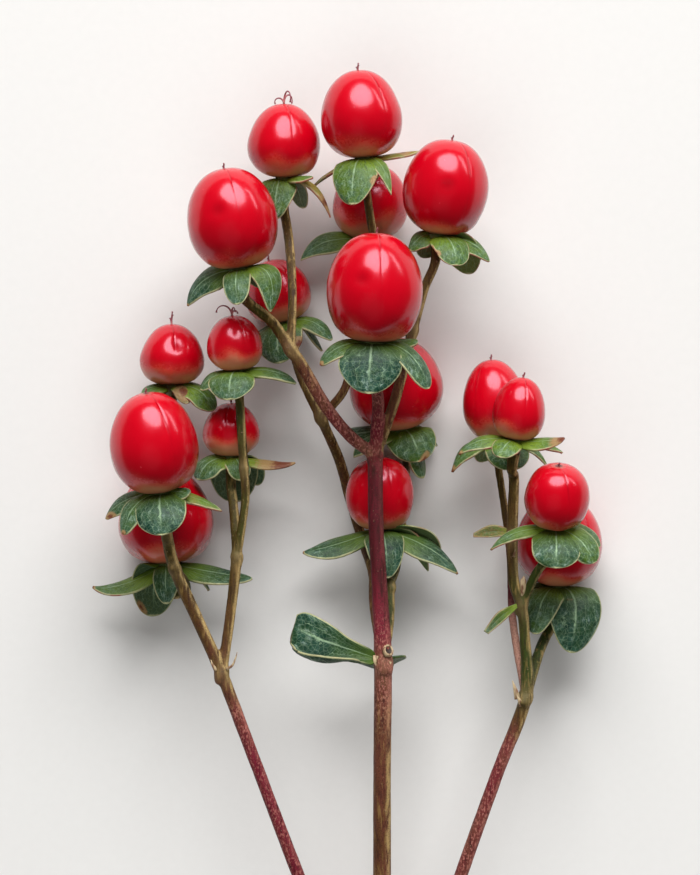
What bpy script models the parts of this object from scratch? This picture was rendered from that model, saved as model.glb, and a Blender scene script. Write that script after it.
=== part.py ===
"""A cut stem of hypericum with eighteen ripe berries, lying on its back on a flat surface.

Metres, +Z up, the tips of the stem toward +Y. The origin is below the middle of the stem, on the surface.
The tables below are in millimetres. One piece of plant is one object: the branched stem, each berry with
its styles, each calyx with its five sepals, and each small leaf.
"""
import math

import bmesh
import bpy
from mathutils import Vector

MM = 0.001
GAP = 0.3                # between pieces that meet
BLADE = 0.62             # thickness of sepals and leaves
CUP_HEIGHT = 1.3         # the small cup that the sepals grow from
CUP_SIDES = 7
CUP_TO_BERRY = 0.13      # the cup's radius against the berry's width
CUP_FOOT = 0.65          # the radius of the cup's foot against its rim
STALK_FLARE = 1.2        # how a berry stalk widens below its cup
STALK_LEAD = 2.4         # length of stalk that runs in line with its berry
NODE_SWELL = 1.35        # radius of a swollen node against its stem

BERRY_SIDES = 12
BERRY_RINGS = 8
BERRY_FULLNESS = 0.86    # below 1, both ends are fuller than those of an ellipse
# Berries with squarer shoulders, and their fullness instead of that.
SQUARER = {"low_mid": 0.74, "right_front": 0.76, "crown_right": 0.8, "crown_front": 0.8}
SUTURES = 3
SUTURE_DEPTH = 0.03      # against the berry's radius, deepest at the tip
SUTURE_SHARPNESS = 6
STYLE_RADIUS = 0.3
STYLE_SIDES = 3
STYLE_ROOT = 0.8         # how deep in the berry's tip a style starts
STYLE_TURN = 0.4         # where the first style stands, in radians from the upper side

SEPAL_ROWS = (0.0, 0.4, 0.8, 0.985)   # where a sepal has a row of points, from root to tip
SEPAL_TURN = 0.65        # how far the blades turn their upper side to the front of the stem
SEPAL_HOLLOW = 0.22      # how deep a sepal is dished across, against half its width
SEPAL_ROOT = 0.5         # how deep in its cup a sepal starts

STEM_SIDES = 6
STEM_STEP = 6.0          # length of one straight piece of a curved stem

# Berry: centre, width, length, lean to the right in degrees, rise of its tip in degrees, and how much
# broader it is toward the base.
BERRIES = {
    "left_front": ((-27.0, 32.7, 19.0), 12.3, 14.1, -8, 12, 0.1),
    "left_top": ((-24.8, 45.1, 10.0), 8.9, 8.6, -1, 0, 0.2),
    "left_inner": ((-15.9, 46.6, 14.0), 7.8, 7.8, -5, 0, 0.14),
    "left_back": ((-16.5, 34.5, 8.8), 8.0, 7.6, 0, 0, 0.12),
    "left_low": ((-25.9, 22.4, 6.4), 13.2, 13.8, -4, 0, 0.18),
    "crown_left": ((-16.1, 63.8, 19.6), 12.6, 14.0, -9, 5, 0.08),
    "crown_mid": ((-9.0, 75.1, 11.8), 10.1, 10.4, 0, 3, 0.15),
    "crown_top": ((1.8, 78.6, 15.0), 11.3, 12.3, -4, 2, 0.13),
    "crown_back": ((3.2, 66.9, 5.2), 10.7, 10.8, 4, 0, 0.1),
    "crown_right": ((13.6, 68.3, 16.0), 11.9, 13.3, 8, 4, 0.06),
    "crown_front": ((3.7, 54.1, 22.0), 13.3, 15.1, 2, 4, 0.08),
    "inner_back": ((-10.1, 54.2, 4.5), 9.4, 9.1, -15, 0, 0.1),
    "low_back": ((6.7, 41.0, 6.5), 13.3, 13.0, -9, 12, 0.08),
    "low_mid": ((4.5, 25.5, 7.4), 9.6, 10.3, -1, 5, 0.06),
    "right_back": ((20.6, 38.7, 8.8), 8.9, 11.4, -4, 0, 0.14),
    "right_top": ((23.9, 37.4, 16.8), 7.3, 8.8, 7, 3, 0.16),
    "right_front": ((29.1, 25.2, 18.0), 9.1, 9.2, 2, 22, 0.04),
    "right_low": ((29.9, 18.7, 6.0), 12.3, 12.8, 0, 5, 0.08),
}

# Length of the styles on each berry's tip; the others are short.
STYLE_LENGTHS = {"crown_mid": 2.6, "crown_top": 1.0, "left_inner": 1.6, "left_top": 1.5, "right_front": 1.2}
STYLE_SHORT = 0.9

# Five sepals to a calyx: the tip and the width of each.
SEPALS = {
    "crown_front": [
        ((2.8, 39.4, 25.5), 8.7), ((-3.8, 43.3, 23.0), 3.6), ((11.0, 40.1, 23.5), 4.4),
        ((9.6, 46.9, 18.0), 3.4), ((0.6, 45.0, 16.0), 4.0)],
    "crown_top": [
        ((0.6, 65.7, 19.0), 6.3), ((6.0, 67.1, 18.5), 2.3), ((10.1, 73.6, 11.6), 1.8),
        ((-4.9, 68.7, 9.5), 2.2), ((2.8, 69.0, 10.5), 4.2)],
    "crown_right": [
        ((15.0, 57.2, 20.0), 5.3), ((8.7, 59.4, 16.0), 3.9), ((19.7, 57.9, 16.0), 4.2),
        ((17.0, 56.3, 13.0), 5.3), ((10.7, 58.7, 10.0), 3.9)],
    "crown_mid": [
        ((-10.2, 63.9, 13.6), 5.3), ((-4.9, 69.6, 15.8), 2.2), ((-2.5, 64.2, 13.6), 1.3),
        ((-6.3, 65.8, 8.1), 4.2), ((-12.1, 66.4, 8.6), 3.9)],
    "crown_left": [
        ((-22.3, 51.7, 17.0), 4.8), ((-15.2, 51.7, 23.5), 3.9), ((-10.8, 50.8, 21.0), 4.4),
        ((-12.1, 54.4, 13.0), 3.4), ((-18.2, 54.1, 12.5), 3.4)],
    "crown_back": [
        ((-6.7, 58.5, 6.6), 3.6), ((8.0, 58.3, 5.0), 3.7), ((1.7, 56.7, 9.5), 4.2),
        ((5.3, 58.5, 1.5), 3.4), ((0.3, 58.5, 1.5), 3.4)],
    "inner_back": [
        ((-9.5, 43.9, 8.0), 6.8), ((-2.3, 47.2, 6.0), 3.4), ((-3.7, 45.7, 3.0), 4.3),
        ((-13.1, 47.6, 3.7), 3.5), ((-9.2, 46.6, 1.5), 3.2)],
    "low_back": [
        ((10.2, 30.0, 8.3), 7.2), ((10.6, 27.6, 6.0), 4.8), ((12.7, 32.2, 2.0), 3.7),
        ((-0.4, 33.6, 5.0), 4.3), ((0.8, 30.6, 11.0), 3.2)],
    "low_mid": [
        ((-6.4, 17.1, 8.0), 4.2), ((5.6, 13.6, 11.4), 5.6), ((15.5, 14.1, 9.0), 4.6),
        ((13.1, 17.1, 5.6), 4.8), ((11.4, 14.4, 4.4), 3.8)],
    "left_front": [
        ((-25.6, 19.9, 22.5), 7.2), ((-31.1, 19.9, 20.5), 3.6), ((-33.7, 22.0, 17.0), 3.6),
        ((-17.6, 23.1, 17.0), 2.2), ((-22.0, 25.5, 19.5), 2.5)],
    "left_top": [
        ((-29.0, 39.5, 11.0), 2.8), ((-19.0, 37.1, 11.5), 4.6), ((-22.6, 38.1, 12.4), 2.5),
        ((-26.2, 38.3, 6.0), 3.4), ((-22.2, 39.2, 5.5), 3.1)],
    "left_inner": [
        ((-16.5, 38.6, 18.0), 6.4), ((-7.3, 40.9, 13.5), 3.1), ((-20.5, 40.0, 15.0), 3.1),
        ((-11.6, 41.9, 9.5), 3.7), ((-18.9, 41.2, 9.5), 3.7)],
    "left_back": [
        ((-21.1, 27.4, 10.5), 4.8), ((-15.0, 27.3, 11.4), 3.7), ((-7.4, 29.8, 10.6), 2.2),
        ((-16.1, 24.2, 5.0), 7.1), ((-12.8, 26.6, 5.5), 4.0)],
    "left_low": [
        ((-36.2, 12.2, 7.0), 4.0), ((-27.8, 7.9, 3.8), 7.2), ((-25.6, 9.9, 9.9), 3.7),
        ((-13.5, 13.4, 9.0), 4.4), ((-19.8, 11.6, 4.0), 3.4)],
    "right_back": [
        ((14.7, 28.5, 9.0), 3.4), ((23.3, 28.8, 12.2), 6.3), ((28.0, 29.4, 10.0), 2.3),
        ((19.1, 29.9, 3.0), 3.7), ((23.4, 30.2, 3.0), 3.4)],
    "right_top": [
        ((15.5, 31.0, 17.0), 3.1), ((21.1, 30.6, 20.0), 3.9), ((30.1, 33.3, 19.0), 3.1),
        ((30.0, 31.2, 14.0), 2.2), ((22.1, 31.4, 13.4), 2.5)],
    "right_front": [
        ((19.9, 17.7, 17.0), 2.2), ((28.8, 15.3, 21.0), 6.9), ((34.1, 15.9, 19.0), 4.6),
        ((35.2, 18.2, 15.0), 3.4), ((27.1, 17.9, 12.5), 3.1)],
    "right_low": [
        ((26.3, 5.7, 11.0), 4.9), ((31.4, 3.0, 9.5), 7.8), ((24.5, 11.3, 4.5), 3.1),
        ((33.2, 9.7, 1.4), 3.4), ((28.2, 9.3, 1.4), 3.4)],
}

# Sepals that twist their face more toward the front than SEPAL_TURN does; below 0, their back.
SEPAL_TURNS = {
    ("crown_left", 0): 1.1, ("crown_right", 3): -1.4, ("crown_back", 0): 1.6, ("low_back", 1): -0.5,
    ("low_mid", 3): -0.8, ("low_mid", 4): -0.8, ("left_low", 1): -1.4, ("left_back", 4): -1.2,
}
# Sepals that are drawn out of the plain curve, by an offset of its middle.
SEPAL_BOWS = {
    ("crown_left", 2): (2.8, 0.9, 0.5), ("crown_top", 3): (0.8, -1.0, 0.0), ("left_front", 3): (-0.6, -1.6, 0.0),
    ("low_mid", 0): (0.0, -3.2, 0.0), ("low_mid", 2): (0.0, -2.6, 0.0), ("left_low", 0): (0.6, -4.2, 0.0),
    ("left_low", 3): (-1.0, -2.6, 0.0), ("right_low", 1): (2.2, 0.0, 0.0), ("left_back", 2): (0.0, -1.8, 0.0),
}

# Each length of stem: points with a radius, from the fork that it grows out of. It ends free, or at a berry.
STEMS = [
    ([(5.1, -86.0, 1.3, 1.35), (5.1, -75.4, 2.2, 1.35), (5.0, -60.1, 4.5, 1.32), (4.9, -43.3, 8.0, 1.28),
      (4.8, -28.2, 10.5, 1.25), (4.8, -11.8, 12.8, 1.22), (4.9, 2.0, 14.0, 1.25), (4.5, 10.6, 14.0, 1.12),
      (3.9, 21.8, 14.0, 1.05), (3.8, 30.9, 14.0, 1.05)], None),
    ([(3.8, 30.9, 14.0, 0.9), (4.2, 38.6, 17.0, 0.85)], "crown_front"),
    ([(3.8, 30.9, 14.0, 0.8), (6.1, 37.2, 15.2, 0.75), (7.7, 42.8, 15.4, 0.75), (9.0, 48.2, 14.6, 0.75)], None),
    ([(9.0, 48.2, 14.6, 0.7), (10.6, 54.0, 15.0, 0.68)], "crown_right"),
    ([(9.0, 48.2, 14.6, 0.65), (6.7, 53.2, 13.0, 0.6), (3.9, 60.4, 13.2, 0.62)], "crown_top"),
    ([(3.8, 30.9, 14.0, 0.85), (0.3, 33.6, 14.8, 0.85), (-3.2, 37.9, 15.4, 0.85), (-6.4, 43.4, 15.8, 0.85),
      (-8.0, 45.6, 16.0, 0.85)], None),
    ([(-8.0, 45.6, 16.0, 0.78), (-10.6, 49.5, 16.6, 0.75)], "crown_left"),
    ([(-8.0, 45.6, 16.0, 0.65), (-7.8, 53.9, 14.4, 0.62), (-8.3, 61.0, 10.8, 0.68)], "crown_mid"),
    ([(4.9, 2.0, 14.0, 0.75), (3.7, 9.8, 11.0, 0.72), (3.5, 14.3, 8.3, 0.72), (2.0, 19.0, 3.4, 0.72),
      (0.3, 24.5, 2.2, 0.72), (-1.0, 29.5, 4.5, 0.72), (-2.4, 33.0, 7.5, 0.72), (-3.8, 36.0, 9.0, 0.72)], None),
    ([(-3.8, 36.0, 9.0, 0.6), (-5.6, 39.4, 9.0, 0.55), (-7.1, 42.9, 8.0, 0.55)], "inner_back"),
    ([(-3.8, 36.0, 9.0, 0.62), (-2.3, 37.8, 9.4, 0.62), (-0.4, 40.4, 10.0, 0.62), (0.8, 45.8, 9.0, 0.6)],
     "crown_back"),
    ([(4.9, 2.0, 14.0, 0.75), (5.8, 7.7, 11.4, 0.7), (5.9, 12.6, 9.5, 0.7)], None),
    ([(5.9, 12.6, 9.5, 0.62)], "low_mid"),
    ([(5.9, 12.6, 9.5, 0.65), (6.9, 15.2, 4.4, 0.62), (7.6, 19.6, 1.4, 0.62), (8.0, 25.9, 1.1, 0.62)],
     "low_back"),
    ([(5.0, -60.1, 4.5, 1.0), (-1.1, -43.4, 7.5, 0.95), (-7.0, -28.3, 10.0, 0.9), (-12.6, -13.3, 12.0, 0.85),
      (-17.7, 0.3, 13.5, 0.88), (-20.7, 7.1, 14.0, 0.86), (-24.2, 14.9, 14.3, 0.86), (-25.3, 19.8, 15.8, 0.82)],
     "left_front"),
    ([(-24.2, 14.9, 14.3, 0.6), (-22.9, 13.2, 11.5, 0.6), (-22.9, 11.5, 8.5, 0.6)], "left_low"),
    ([(-25.3, 19.8, 15.8, 0.55), (-24.9, 23.5, 14.4, 0.55), (-24.2, 27.4, 12.4, 0.52),
      (-24.0, 33.0, 9.8, 0.52)], "left_top"),
    ([(-17.7, 0.3, 13.5, 0.75), (-16.5, 8.5, 13.0, 0.72), (-15.6, 16.6, 12.5, 0.78)], None),
    ([(-15.6, 16.6, 12.5, 0.68), (-16.0, 22.5, 11.0, 0.7)], "left_back"),
    ([(-15.6, 16.6, 12.5, 0.62), (-14.4, 24.6, 13.4, 0.6), (-14.6, 29.1, 13.6, 0.66)], "left_inner"),
    ([(5.0, -60.1, 4.5, 1.0), (10.9, -43.4, 7.5, 0.95), (15.9, -28.3, 10.0, 0.92), (20.9, -14.0, 12.0, 0.88),
      (24.9, -3.0, 13.2, 0.9), (24.8, 5.0, 13.4, 0.75), (24.3, 9.8, 13.4, 0.8), (23.2, 13.4, 13.5, 0.78),
      (23.0, 19.7, 13.6, 0.78), (23.2, 27.5, 14.8, 0.74)], "right_top"),
    ([(24.3, 9.8, 13.4, 0.66), (26.6, 14.9, 15.0, 0.64)], "right_front"),
    ([(24.9, -3.0, 13.2, 0.75), (26.6, 2.0, 9.4, 0.75), (27.9, 5.0, 6.9, 0.75)], "right_low"),
    ([(24.9, -3.0, 13.2, 0.6), (23.2, 7.7, 11.0, 0.56), (22.9, 16.1, 10.0, 0.55), (22.3, 22.0, 9.3, 0.55)],
     "right_back"),
]

# Swollen nodes along the stems: the place and the radius of the stem there.
SWELLINGS = [
    ((5.0, -60.1, 4.5), 1.35), ((4.9, 2.0, 14.0), 1.25), ((3.8, 30.9, 14.0), 1.05), ((9.0, 48.2, 14.6), 0.8),
    ((-8.0, 45.6, 16.0), 0.85), ((-3.8, 36.0, 9.0), 0.8), ((5.9, 12.6, 9.5), 0.75), ((-17.7, 0.3, 13.5), 0.95),
    ((-24.2, 14.9, 14.3), 0.85), ((-25.3, 19.8, 15.8), 0.75), ((-15.6, 16.6, 12.5), 0.8),
    ((-14.6, 29.1, 13.6), 0.65), ((24.9, -3.0, 13.2), 0.95), ((24.3, 9.8, 13.4), 0.82), ((23.0, 19.7, 13.6), 0.78),
]

# Small leaves: points along the rib, each with the leaf's margins as offsets from it.
LEAVES = {
    "leaf_main_left": [
        ((3.0, 2.9, 14.6), (0.2, 0.9, 0.3), (-0.1, -0.8, 0.3), (0.0, -1.2, 1.2)),
        ((0.2, 3.9, 15.0), (0.3, 1.3, 0.4), (-0.2, -1.5, 0.3), (0.0, -1.3, 1.6)),
        ((-3.2, 5.1, 15.2), (0.6, 2.3, 0.3), (-0.3, -2.9, 0.2), (-0.1, -2.2, 1.8)),
        ((-6.2, 6.3, 14.4), (0.6, 2.6, 0.0), (-0.6, -2.8, 0.1), (-0.5, -2.9, 1.4)),
        ((-7.6, 6.8, 13.6), (0.5, 1.8, 0.0), (-0.5, -1.6, 0.0), (-0.4, -2.4, 0.8))],
    "leaf_main_right": [
        ((5.0, 2.4, 12.0), (-1.6, 0.1, 0.0), (1.6, 0.1, 0.0)),
        ((4.9, 1.8, 10.2), (-3.6, 0.6, 0.2), (3.2, 0.8, 0.2)),
        ((4.7, 0.9, 7.6), (-3.4, 0.8, 0.3), (3.1, 1.2, 0.3)),
        ((4.6, 0.7, 5.8), (-1.0, 0.3, 0.1), (1.0, 0.3, 0.1))],
    "leaf_right_upper": [
        ((21.6, 20.2, 13.2), (0.0, 0.7, 0.2), (0.0, -0.6, 0.2)),
        ((19.8, 20.2, 12.8), (0.0, 0.9, 0.3), (0.0, -0.8, 0.2)),
        ((17.6, 19.7, 12.4), (0.0, 0.3, 0.1), (0.0, -0.3, 0.1))],
    "leaf_right_middle": [
        ((23.6, 9.9, 15.0), (-0.1, 0.3, 0.1), (0.1, -0.3, 0.1)),
        ((21.4, 8.4, 15.0), (-0.4, 0.6, 0.3), (0.4, -0.6, 0.2)),
        ((19.3, 6.1, 14.6), (-0.3, 0.2, 0.1), (0.3, -0.2, 0.1))],
}

# Berries that carry the stem, on a small flat spot each.
RESTING = ("left_low", "crown_back", "inner_back", "low_back", "right_low")

COLOURS = {
    "berry": ((0.55, 0.004, 0.008, 1.0), 0.22),
    "calyx": ((0.05, 0.13, 0.06, 1.0), 0.5),
    "leaf": ((0.03, 0.09, 0.06, 1.0), 0.5),
    "stem": ((0.16, 0.05, 0.03, 1.0), 0.6),
}


def vec(triple):
    """A place or an offset from the tables, as a vector in millimetres."""
    return Vector(triple[:3])


def berry_axis(lean, rise):
    """Direction from a berry's base to its tip."""
    flat = math.cos(math.radians(rise))
    side = math.radians(lean)
    return Vector((math.sin(side) * flat, math.cos(side) * flat, math.sin(math.radians(rise))))


def berry_base(name):
    """The point where a berry meets its cup, and the berry's axis."""
    centre, _, length, lean, rise, _ = BERRIES[name]
    axis = berry_axis(lean, rise)
    return vec(centre) - axis * length / 2, axis


def across_frame(axis):
    """Two directions at right angles to an axis, the second one as near to +Z as it can be."""
    side = axis.cross(Vector((0, 0, 1))).normalized()
    return side, side.cross(axis).normalized()


def material(kind):
    """The plain material of a kind of piece."""
    if kind in bpy.data.materials:
        return bpy.data.materials[kind]
    made = bpy.data.materials.new(kind)
    made.use_nodes = True
    colour, rough = COLOURS[kind]
    shader = made.node_tree.nodes["Principled BSDF"]
    shader.inputs["Base Color"].default_value = colour
    shader.inputs["Roughness"].default_value = rough
    shader.inputs["Metallic"].default_value = 0.0
    made.diffuse_color = colour
    return made


def make_object(name, mesh_data, kind):
    """Turn a bmesh in millimetres into a named object in metres."""
    bmesh.ops.scale(mesh_data, vec=(MM, MM, MM), verts=mesh_data.verts)
    bmesh.ops.recalc_face_normals(mesh_data, faces=mesh_data.faces)
    mesh = bpy.data.meshes.new(name)
    mesh_data.to_mesh(mesh)
    mesh_data.free()
    mesh.materials.append(material(kind))
    body = bpy.data.objects.new(name, mesh)
    bpy.context.scene.collection.objects.link(body)
    return body


def loft(rings, start=None, end=None):
    """A closed skin over rings of points; each end is a point or a flat cap."""
    shape = bmesh.new()
    rows = [[shape.verts.new(point) for point in ring] for ring in rings]
    count = len(rows[0])
    for lower, upper in zip(rows, rows[1:]):
        for i in range(count):
            j = (i + 1) % count
            shape.faces.new((lower[i], lower[j], upper[j], upper[i]))
    for row, pole in ((rows[0], start), (rows[-1], end)):
        if pole is None:
            shape.faces.new(row)
            continue
        top = shape.verts.new(pole)
        for i in range(count):
            shape.faces.new((row[i], row[(i + 1) % count], top))
    return shape


def blade(rows, thickness):
    """A thin leaf over rows of points on its middle surface, with both faces split alike."""
    shape = bmesh.new()
    faces = {1: [], -1: []}
    for index, row in enumerate(rows):
        before = rows[max(index - 1, 0)]
        after = rows[min(index + 1, len(rows) - 1)]
        lines = {1: [], -1: []}
        for i, point in enumerate(row):
            along = after[i] - before[i]
            across = row[min(i + 1, len(row) - 1)] - row[max(i - 1, 0)]
            normal = across.cross(along).normalized() * thickness / 2
            for side in lines:
                lines[side].append(shape.verts.new(point + normal * side))
        for side, line in lines.items():
            faces[side].append(line)
    for side, grid in faces.items():
        for low, high in zip(grid, grid[1:]):
            for i in range(len(low) - 1):
                shape.faces.new((low[i], low[i + 1], high[i + 1]))
                shape.faces.new((low[i], high[i + 1], high[i]))
    upper, lower = faces[1], faces[-1]
    last = len(rows[0]) - 1
    for i in range(len(rows) - 1):
        for edge in (0, last):
            shape.faces.new((upper[i][edge], upper[i + 1][edge], lower[i + 1][edge], lower[i][edge]))
    for end in (0, len(rows) - 1):
        for i in range(last):
            shape.faces.new((upper[end][i], upper[end][i + 1], lower[end][i + 1], lower[end][i]))
    return shape


def spline(points, step):
    """Points about one step apart on a smooth curve through the given ones, radius included."""
    points = [Vector(point) for point in points]
    smooth = [points[0]]
    for i in range(len(points) - 1):
        p1, p2 = points[i], points[i + 1]
        p0 = points[i - 1] if i else p1 * 2 - p2
        p3 = points[i + 2] if i + 2 < len(points) else p2 * 2 - p1
        pieces = max(1, round((p2.xyz - p1.xyz).length / step))
        for k in range(1, pieces + 1):
            t = k / pieces
            smooth.append(0.5 * (2 * p1 + (p2 - p0) * t + (2 * p0 - 5 * p1 + 4 * p2 - p3) * t ** 2
                                 + (3 * p1 - p0 - 3 * p2 + p3) * t ** 3))
    return smooth


def tube_rings(path, sides):
    """Rings of points round a path whose fourth number is the radius, without any twist."""
    rings = []
    side = None
    for i, point in enumerate(path):
        ahead = (path[min(i + 1, len(path) - 1)].xyz - path[max(i - 1, 0)].xyz).normalized()
        if side is None:
            side = ahead.orthogonal().normalized()
        side = (side - ahead * side.dot(ahead)).normalized()
        up = ahead.cross(side)
        ring = []
        for k in range(sides):
            turn = 2 * math.pi * k / sides
            ring.append(point.xyz + (side * math.cos(turn) + up * math.sin(turn)) * point.w)
        rings.append(ring)
    return rings


def fuse(body, others):
    """Join what grew together into one closed solid."""
    group = bpy.data.collections.new(body.name + " roots")
    for other in others:
        group.objects.link(other)
    union = body.modifiers.new("grown together", "BOOLEAN")
    union.operation = "UNION"
    union.solver = "EXACT"
    union.operand_type = "COLLECTION"
    union.collection = group
    solid = bpy.data.meshes.new_from_object(body.evaluated_get(bpy.context.evaluated_depsgraph_get()))
    body.modifiers.clear()
    body.data = solid
    bpy.data.collections.remove(group)
    for other in others:
        bpy.data.objects.remove(other, do_unlink=True)


def islands(shape):
    """The groups of faces that hang together."""
    waiting = set(shape.faces)
    groups = []
    while waiting:
        group, reached = set(), [waiting.pop()]
        while reached:
            face = reached.pop()
            group.add(face)
            near = [other for edge in face.edges if len(edge.link_faces) == 2 for other in edge.link_faces]
            for neighbour in near:
                if neighbour in waiting:
                    waiting.remove(neighbour)
                    reached.append(neighbour)
        groups.append(group)
    return groups


def clean(body):
    """Fill any hollow that a join sealed, and drop loose scraps: only the largest body stays."""
    shape = bmesh.new()
    shape.from_mesh(body.data)
    bmesh.ops.dissolve_limit(shape, angle_limit=math.radians(0.3), verts=shape.verts, edges=shape.edges)
    bmesh.ops.triangulate(shape, faces=shape.faces)
    groups = sorted(islands(shape), key=len)
    for group in groups[:-1]:
        bmesh.ops.delete(shape, geom=list(group), context="FACES")
    shape.to_mesh(body.data)
    shape.free()


def flatten_below(shape):
    """Cut a body off at the surface it lies on and close the cut with a flat spot."""
    cut = bmesh.ops.bisect_plane(
        shape, geom=shape.verts[:] + shape.edges[:] + shape.faces[:], plane_co=(0, 0, 0),
        plane_no=(0, 0, 1), clear_inner=True)
    rim = [item for item in cut["geom_cut"] if isinstance(item, bmesh.types.BMEdge)]
    bmesh.ops.contextual_create(shape, geom=rim)


def berry_radius(name, angle, climb):
    """Distance from a berry's axis to its skin; climb runs from -1 at the base to 1 at the tip."""
    _, width, _, _, _, egg = BERRIES[name]
    around = math.sqrt(max(0.0, 1 - climb * climb)) ** SQUARER.get(name, BERRY_FULLNESS)
    depth = SUTURE_DEPTH * max(0.0, 0.4 + 0.6 * climb)
    furrow = max(0.0, math.cos(SUTURES * angle)) ** SUTURE_SHARPNESS * depth
    return width / 2 * around * (1 - egg * climb) * (1 - furrow)


def berry(name):
    """A berry with three sutures and a short style for each of them."""
    centre, _, length, lean, rise, _ = BERRIES[name]
    axis = berry_axis(lean, rise)
    side, up = across_frame(axis)
    rings = []
    for row in range(1, BERRY_RINGS):
        climb = -math.cos(math.pi * row / BERRY_RINGS)
        ring = []
        for k in range(BERRY_SIDES):
            turn = 2 * math.pi * k / BERRY_SIDES
            out = up * math.cos(turn) + side * math.sin(turn)
            ring.append(vec(centre) + axis * climb * length / 2 + out * berry_radius(name, turn, climb))
        rings.append(ring)
    tip = vec(centre) + axis * length / 2
    shape = loft(rings, vec(centre) - axis * length / 2, tip)
    if name in RESTING:
        flatten_below(shape)
    body = make_object("berry_" + name, shape, "berry")
    styles = []
    for k in range(SUTURES):
        turn = STYLE_TURN + 2 * math.pi * k / SUTURES
        styles.append(style(name, tip, axis, up * math.cos(turn) + side * math.sin(turn)))
    fuse(body, styles)
    clean(body)
    body.data.shade_smooth()
    body.data.set_sharp_from_angle(angle=math.radians(50))


def style(name, tip, axis, out):
    """One curled style: it starts inside the berry's tip, rises and bends outward."""
    long = STYLE_LENGTHS.get(name, STYLE_SHORT)
    path = [
        (*(tip - axis * STYLE_ROOT), STYLE_RADIUS), (*(tip + axis * long * 0.6 + out * 0.25), STYLE_RADIUS * 0.9),
        (*(tip + axis * long * 0.9 + out * long * 0.45), STYLE_RADIUS * 0.75)]
    return make_object("style", loft(tube_rings([Vector(point) for point in path], STYLE_SIDES)), "berry")


def sepal_width(along):
    """Width of a sepal against its widest: a broad root, rounded shoulders and a blunt tip."""
    reach = 0.03 + 0.97 * along
    return (1 - abs(2 * reach - 1) ** 3.0) ** 0.5


def sepal_rows(name, order, root, axis):
    """Points of one sepal, from its root in the cup out and over to its tip, in three lines."""
    tip, width = vec(SEPALS[name][order][0]), SEPALS[name][order][1]
    reach = tip - root
    droop = axis * reach.dot(axis)
    outward = (reach - droop).normalized()
    length = reach.length
    control = root + outward * ((reach - droop).length * 0.55 + length * 0.14) + axis * length * 0.06
    control += vec(SEPAL_BOWS.get((name, order), (0, 0, 0)))
    turn = SEPAL_TURNS.get((name, order), SEPAL_TURN * min(1.0, 1.0 + outward.z))
    turned = axis.cross(outward) + Vector((0, 0, 1)).cross(reach.normalized()) * turn
    level = turned.normalized()
    rows = []
    for along in SEPAL_ROWS:
        point = root * (1 - along) ** 2 + control * 2 * along * (1 - along) + tip * along ** 2
        heading = ((control - root) * (1 - along) + (tip - control) * along).normalized()
        across = (level - heading * level.dot(heading)).normalized()
        above = heading.cross(across)
        half = width / 2 * sepal_width(along)
        row = []
        for share in (-1, 0, 1):
            row.append(point + across * half * share - above * half * SEPAL_HOLLOW * share ** 2)
        rows.append(row)
    return rows


def calyx(name):
    """The cup below a berry with its five sepals."""
    base, axis = berry_base(name)
    width = BERRIES[name][1]
    radius = width * CUP_TO_BERRY
    top = base - axis * GAP
    low = top - axis * CUP_HEIGHT
    path = [Vector((*low, radius * CUP_FOOT)), Vector((*top, radius))]
    cup = make_object("calyx_" + name, loft(tube_rings(path, CUP_SIDES)), "calyx")
    sepals = []
    for order in range(len(SEPALS[name])):
        outward = vec(SEPALS[name][order][0]) - top
        outward = (outward - axis * outward.dot(axis)).normalized()
        root = top - axis * SEPAL_ROOT + outward * radius * 0.35
        rows = sepal_rows(name, order, root, axis)
        sepals.append(make_object("sepal", blade(rows, BLADE), "calyx"))
    fuse(cup, sepals)
    clean(cup)


def stem_path(points, berry_name):
    """The points of one stem, led in line with the berry where it carries one."""
    points = [tuple(point) for point in points]
    if berry_name:
        base, axis = berry_base(berry_name)
        radius = points[-1][3]
        end = base - axis * (CUP_HEIGHT + 2 * GAP)
        points.append((*(end - axis * STALK_LEAD), radius))
        points.append((*end, radius * STALK_FLARE))
    return spline(points, STEM_STEP)


def branched_stem():
    """The woody stem with all its forks and berry stalks, as one solid."""
    tubes = []
    for points, berry_name in STEMS:
        tubes.append(make_object("length", loft(tube_rings(stem_path(points, berry_name), STEM_SIDES)), "stem"))
    for place, radius in SWELLINGS:
        knot = bmesh.new()
        bmesh.ops.create_uvsphere(knot, u_segments=6, v_segments=5, radius=radius * NODE_SWELL)
        bmesh.ops.translate(knot, vec=vec(place), verts=knot.verts)
        tubes.append(make_object("knot", knot, "stem"))
    stem, rest = tubes[0], tubes[1:]
    stem.name = "branched_stem"
    fuse(stem, rest)
    clean(stem)
    shape = bmesh.new()
    shape.from_mesh(stem.data)
    flatten_below(shape)
    shape.to_mesh(stem.data)
    shape.free()


def leaf(name):
    """A small leaf from its rib and the offsets of its margins; a fourth entry is a rolled margin."""
    rows = []
    for rib, *margins in LEAVES[name]:
        middle = vec(rib)
        upper, lower = middle + vec(margins[0]), middle + vec(margins[1])
        row = [upper, middle, lower]
        if len(margins) > 2:
            row.append(middle + vec(margins[2]))
        rows.append(row)
    body = make_object(name, blade(rows, BLADE), "leaf")
    body.data.shade_smooth()
    body.data.set_sharp_from_angle(angle=math.radians(45))


def main():
    """Clear the scene and grow the plant."""
    for old in list(bpy.data.objects):
        bpy.data.objects.remove(old, do_unlink=True)
    branched_stem()
    for name in BERRIES:
        berry(name)
        calyx(name)
    for name in LEAVES:
        leaf(name)


main()
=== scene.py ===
"""Fine surfaces for a cut hypericum stem: its berries, calyces, bark and leaves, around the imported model.

The file is laid out as an add-on and is run as a script. The tables are in millimetres in the row's frame:
+Z is up, the berries are toward +Y, and the stem lies on its back on the floor.
"""

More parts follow.
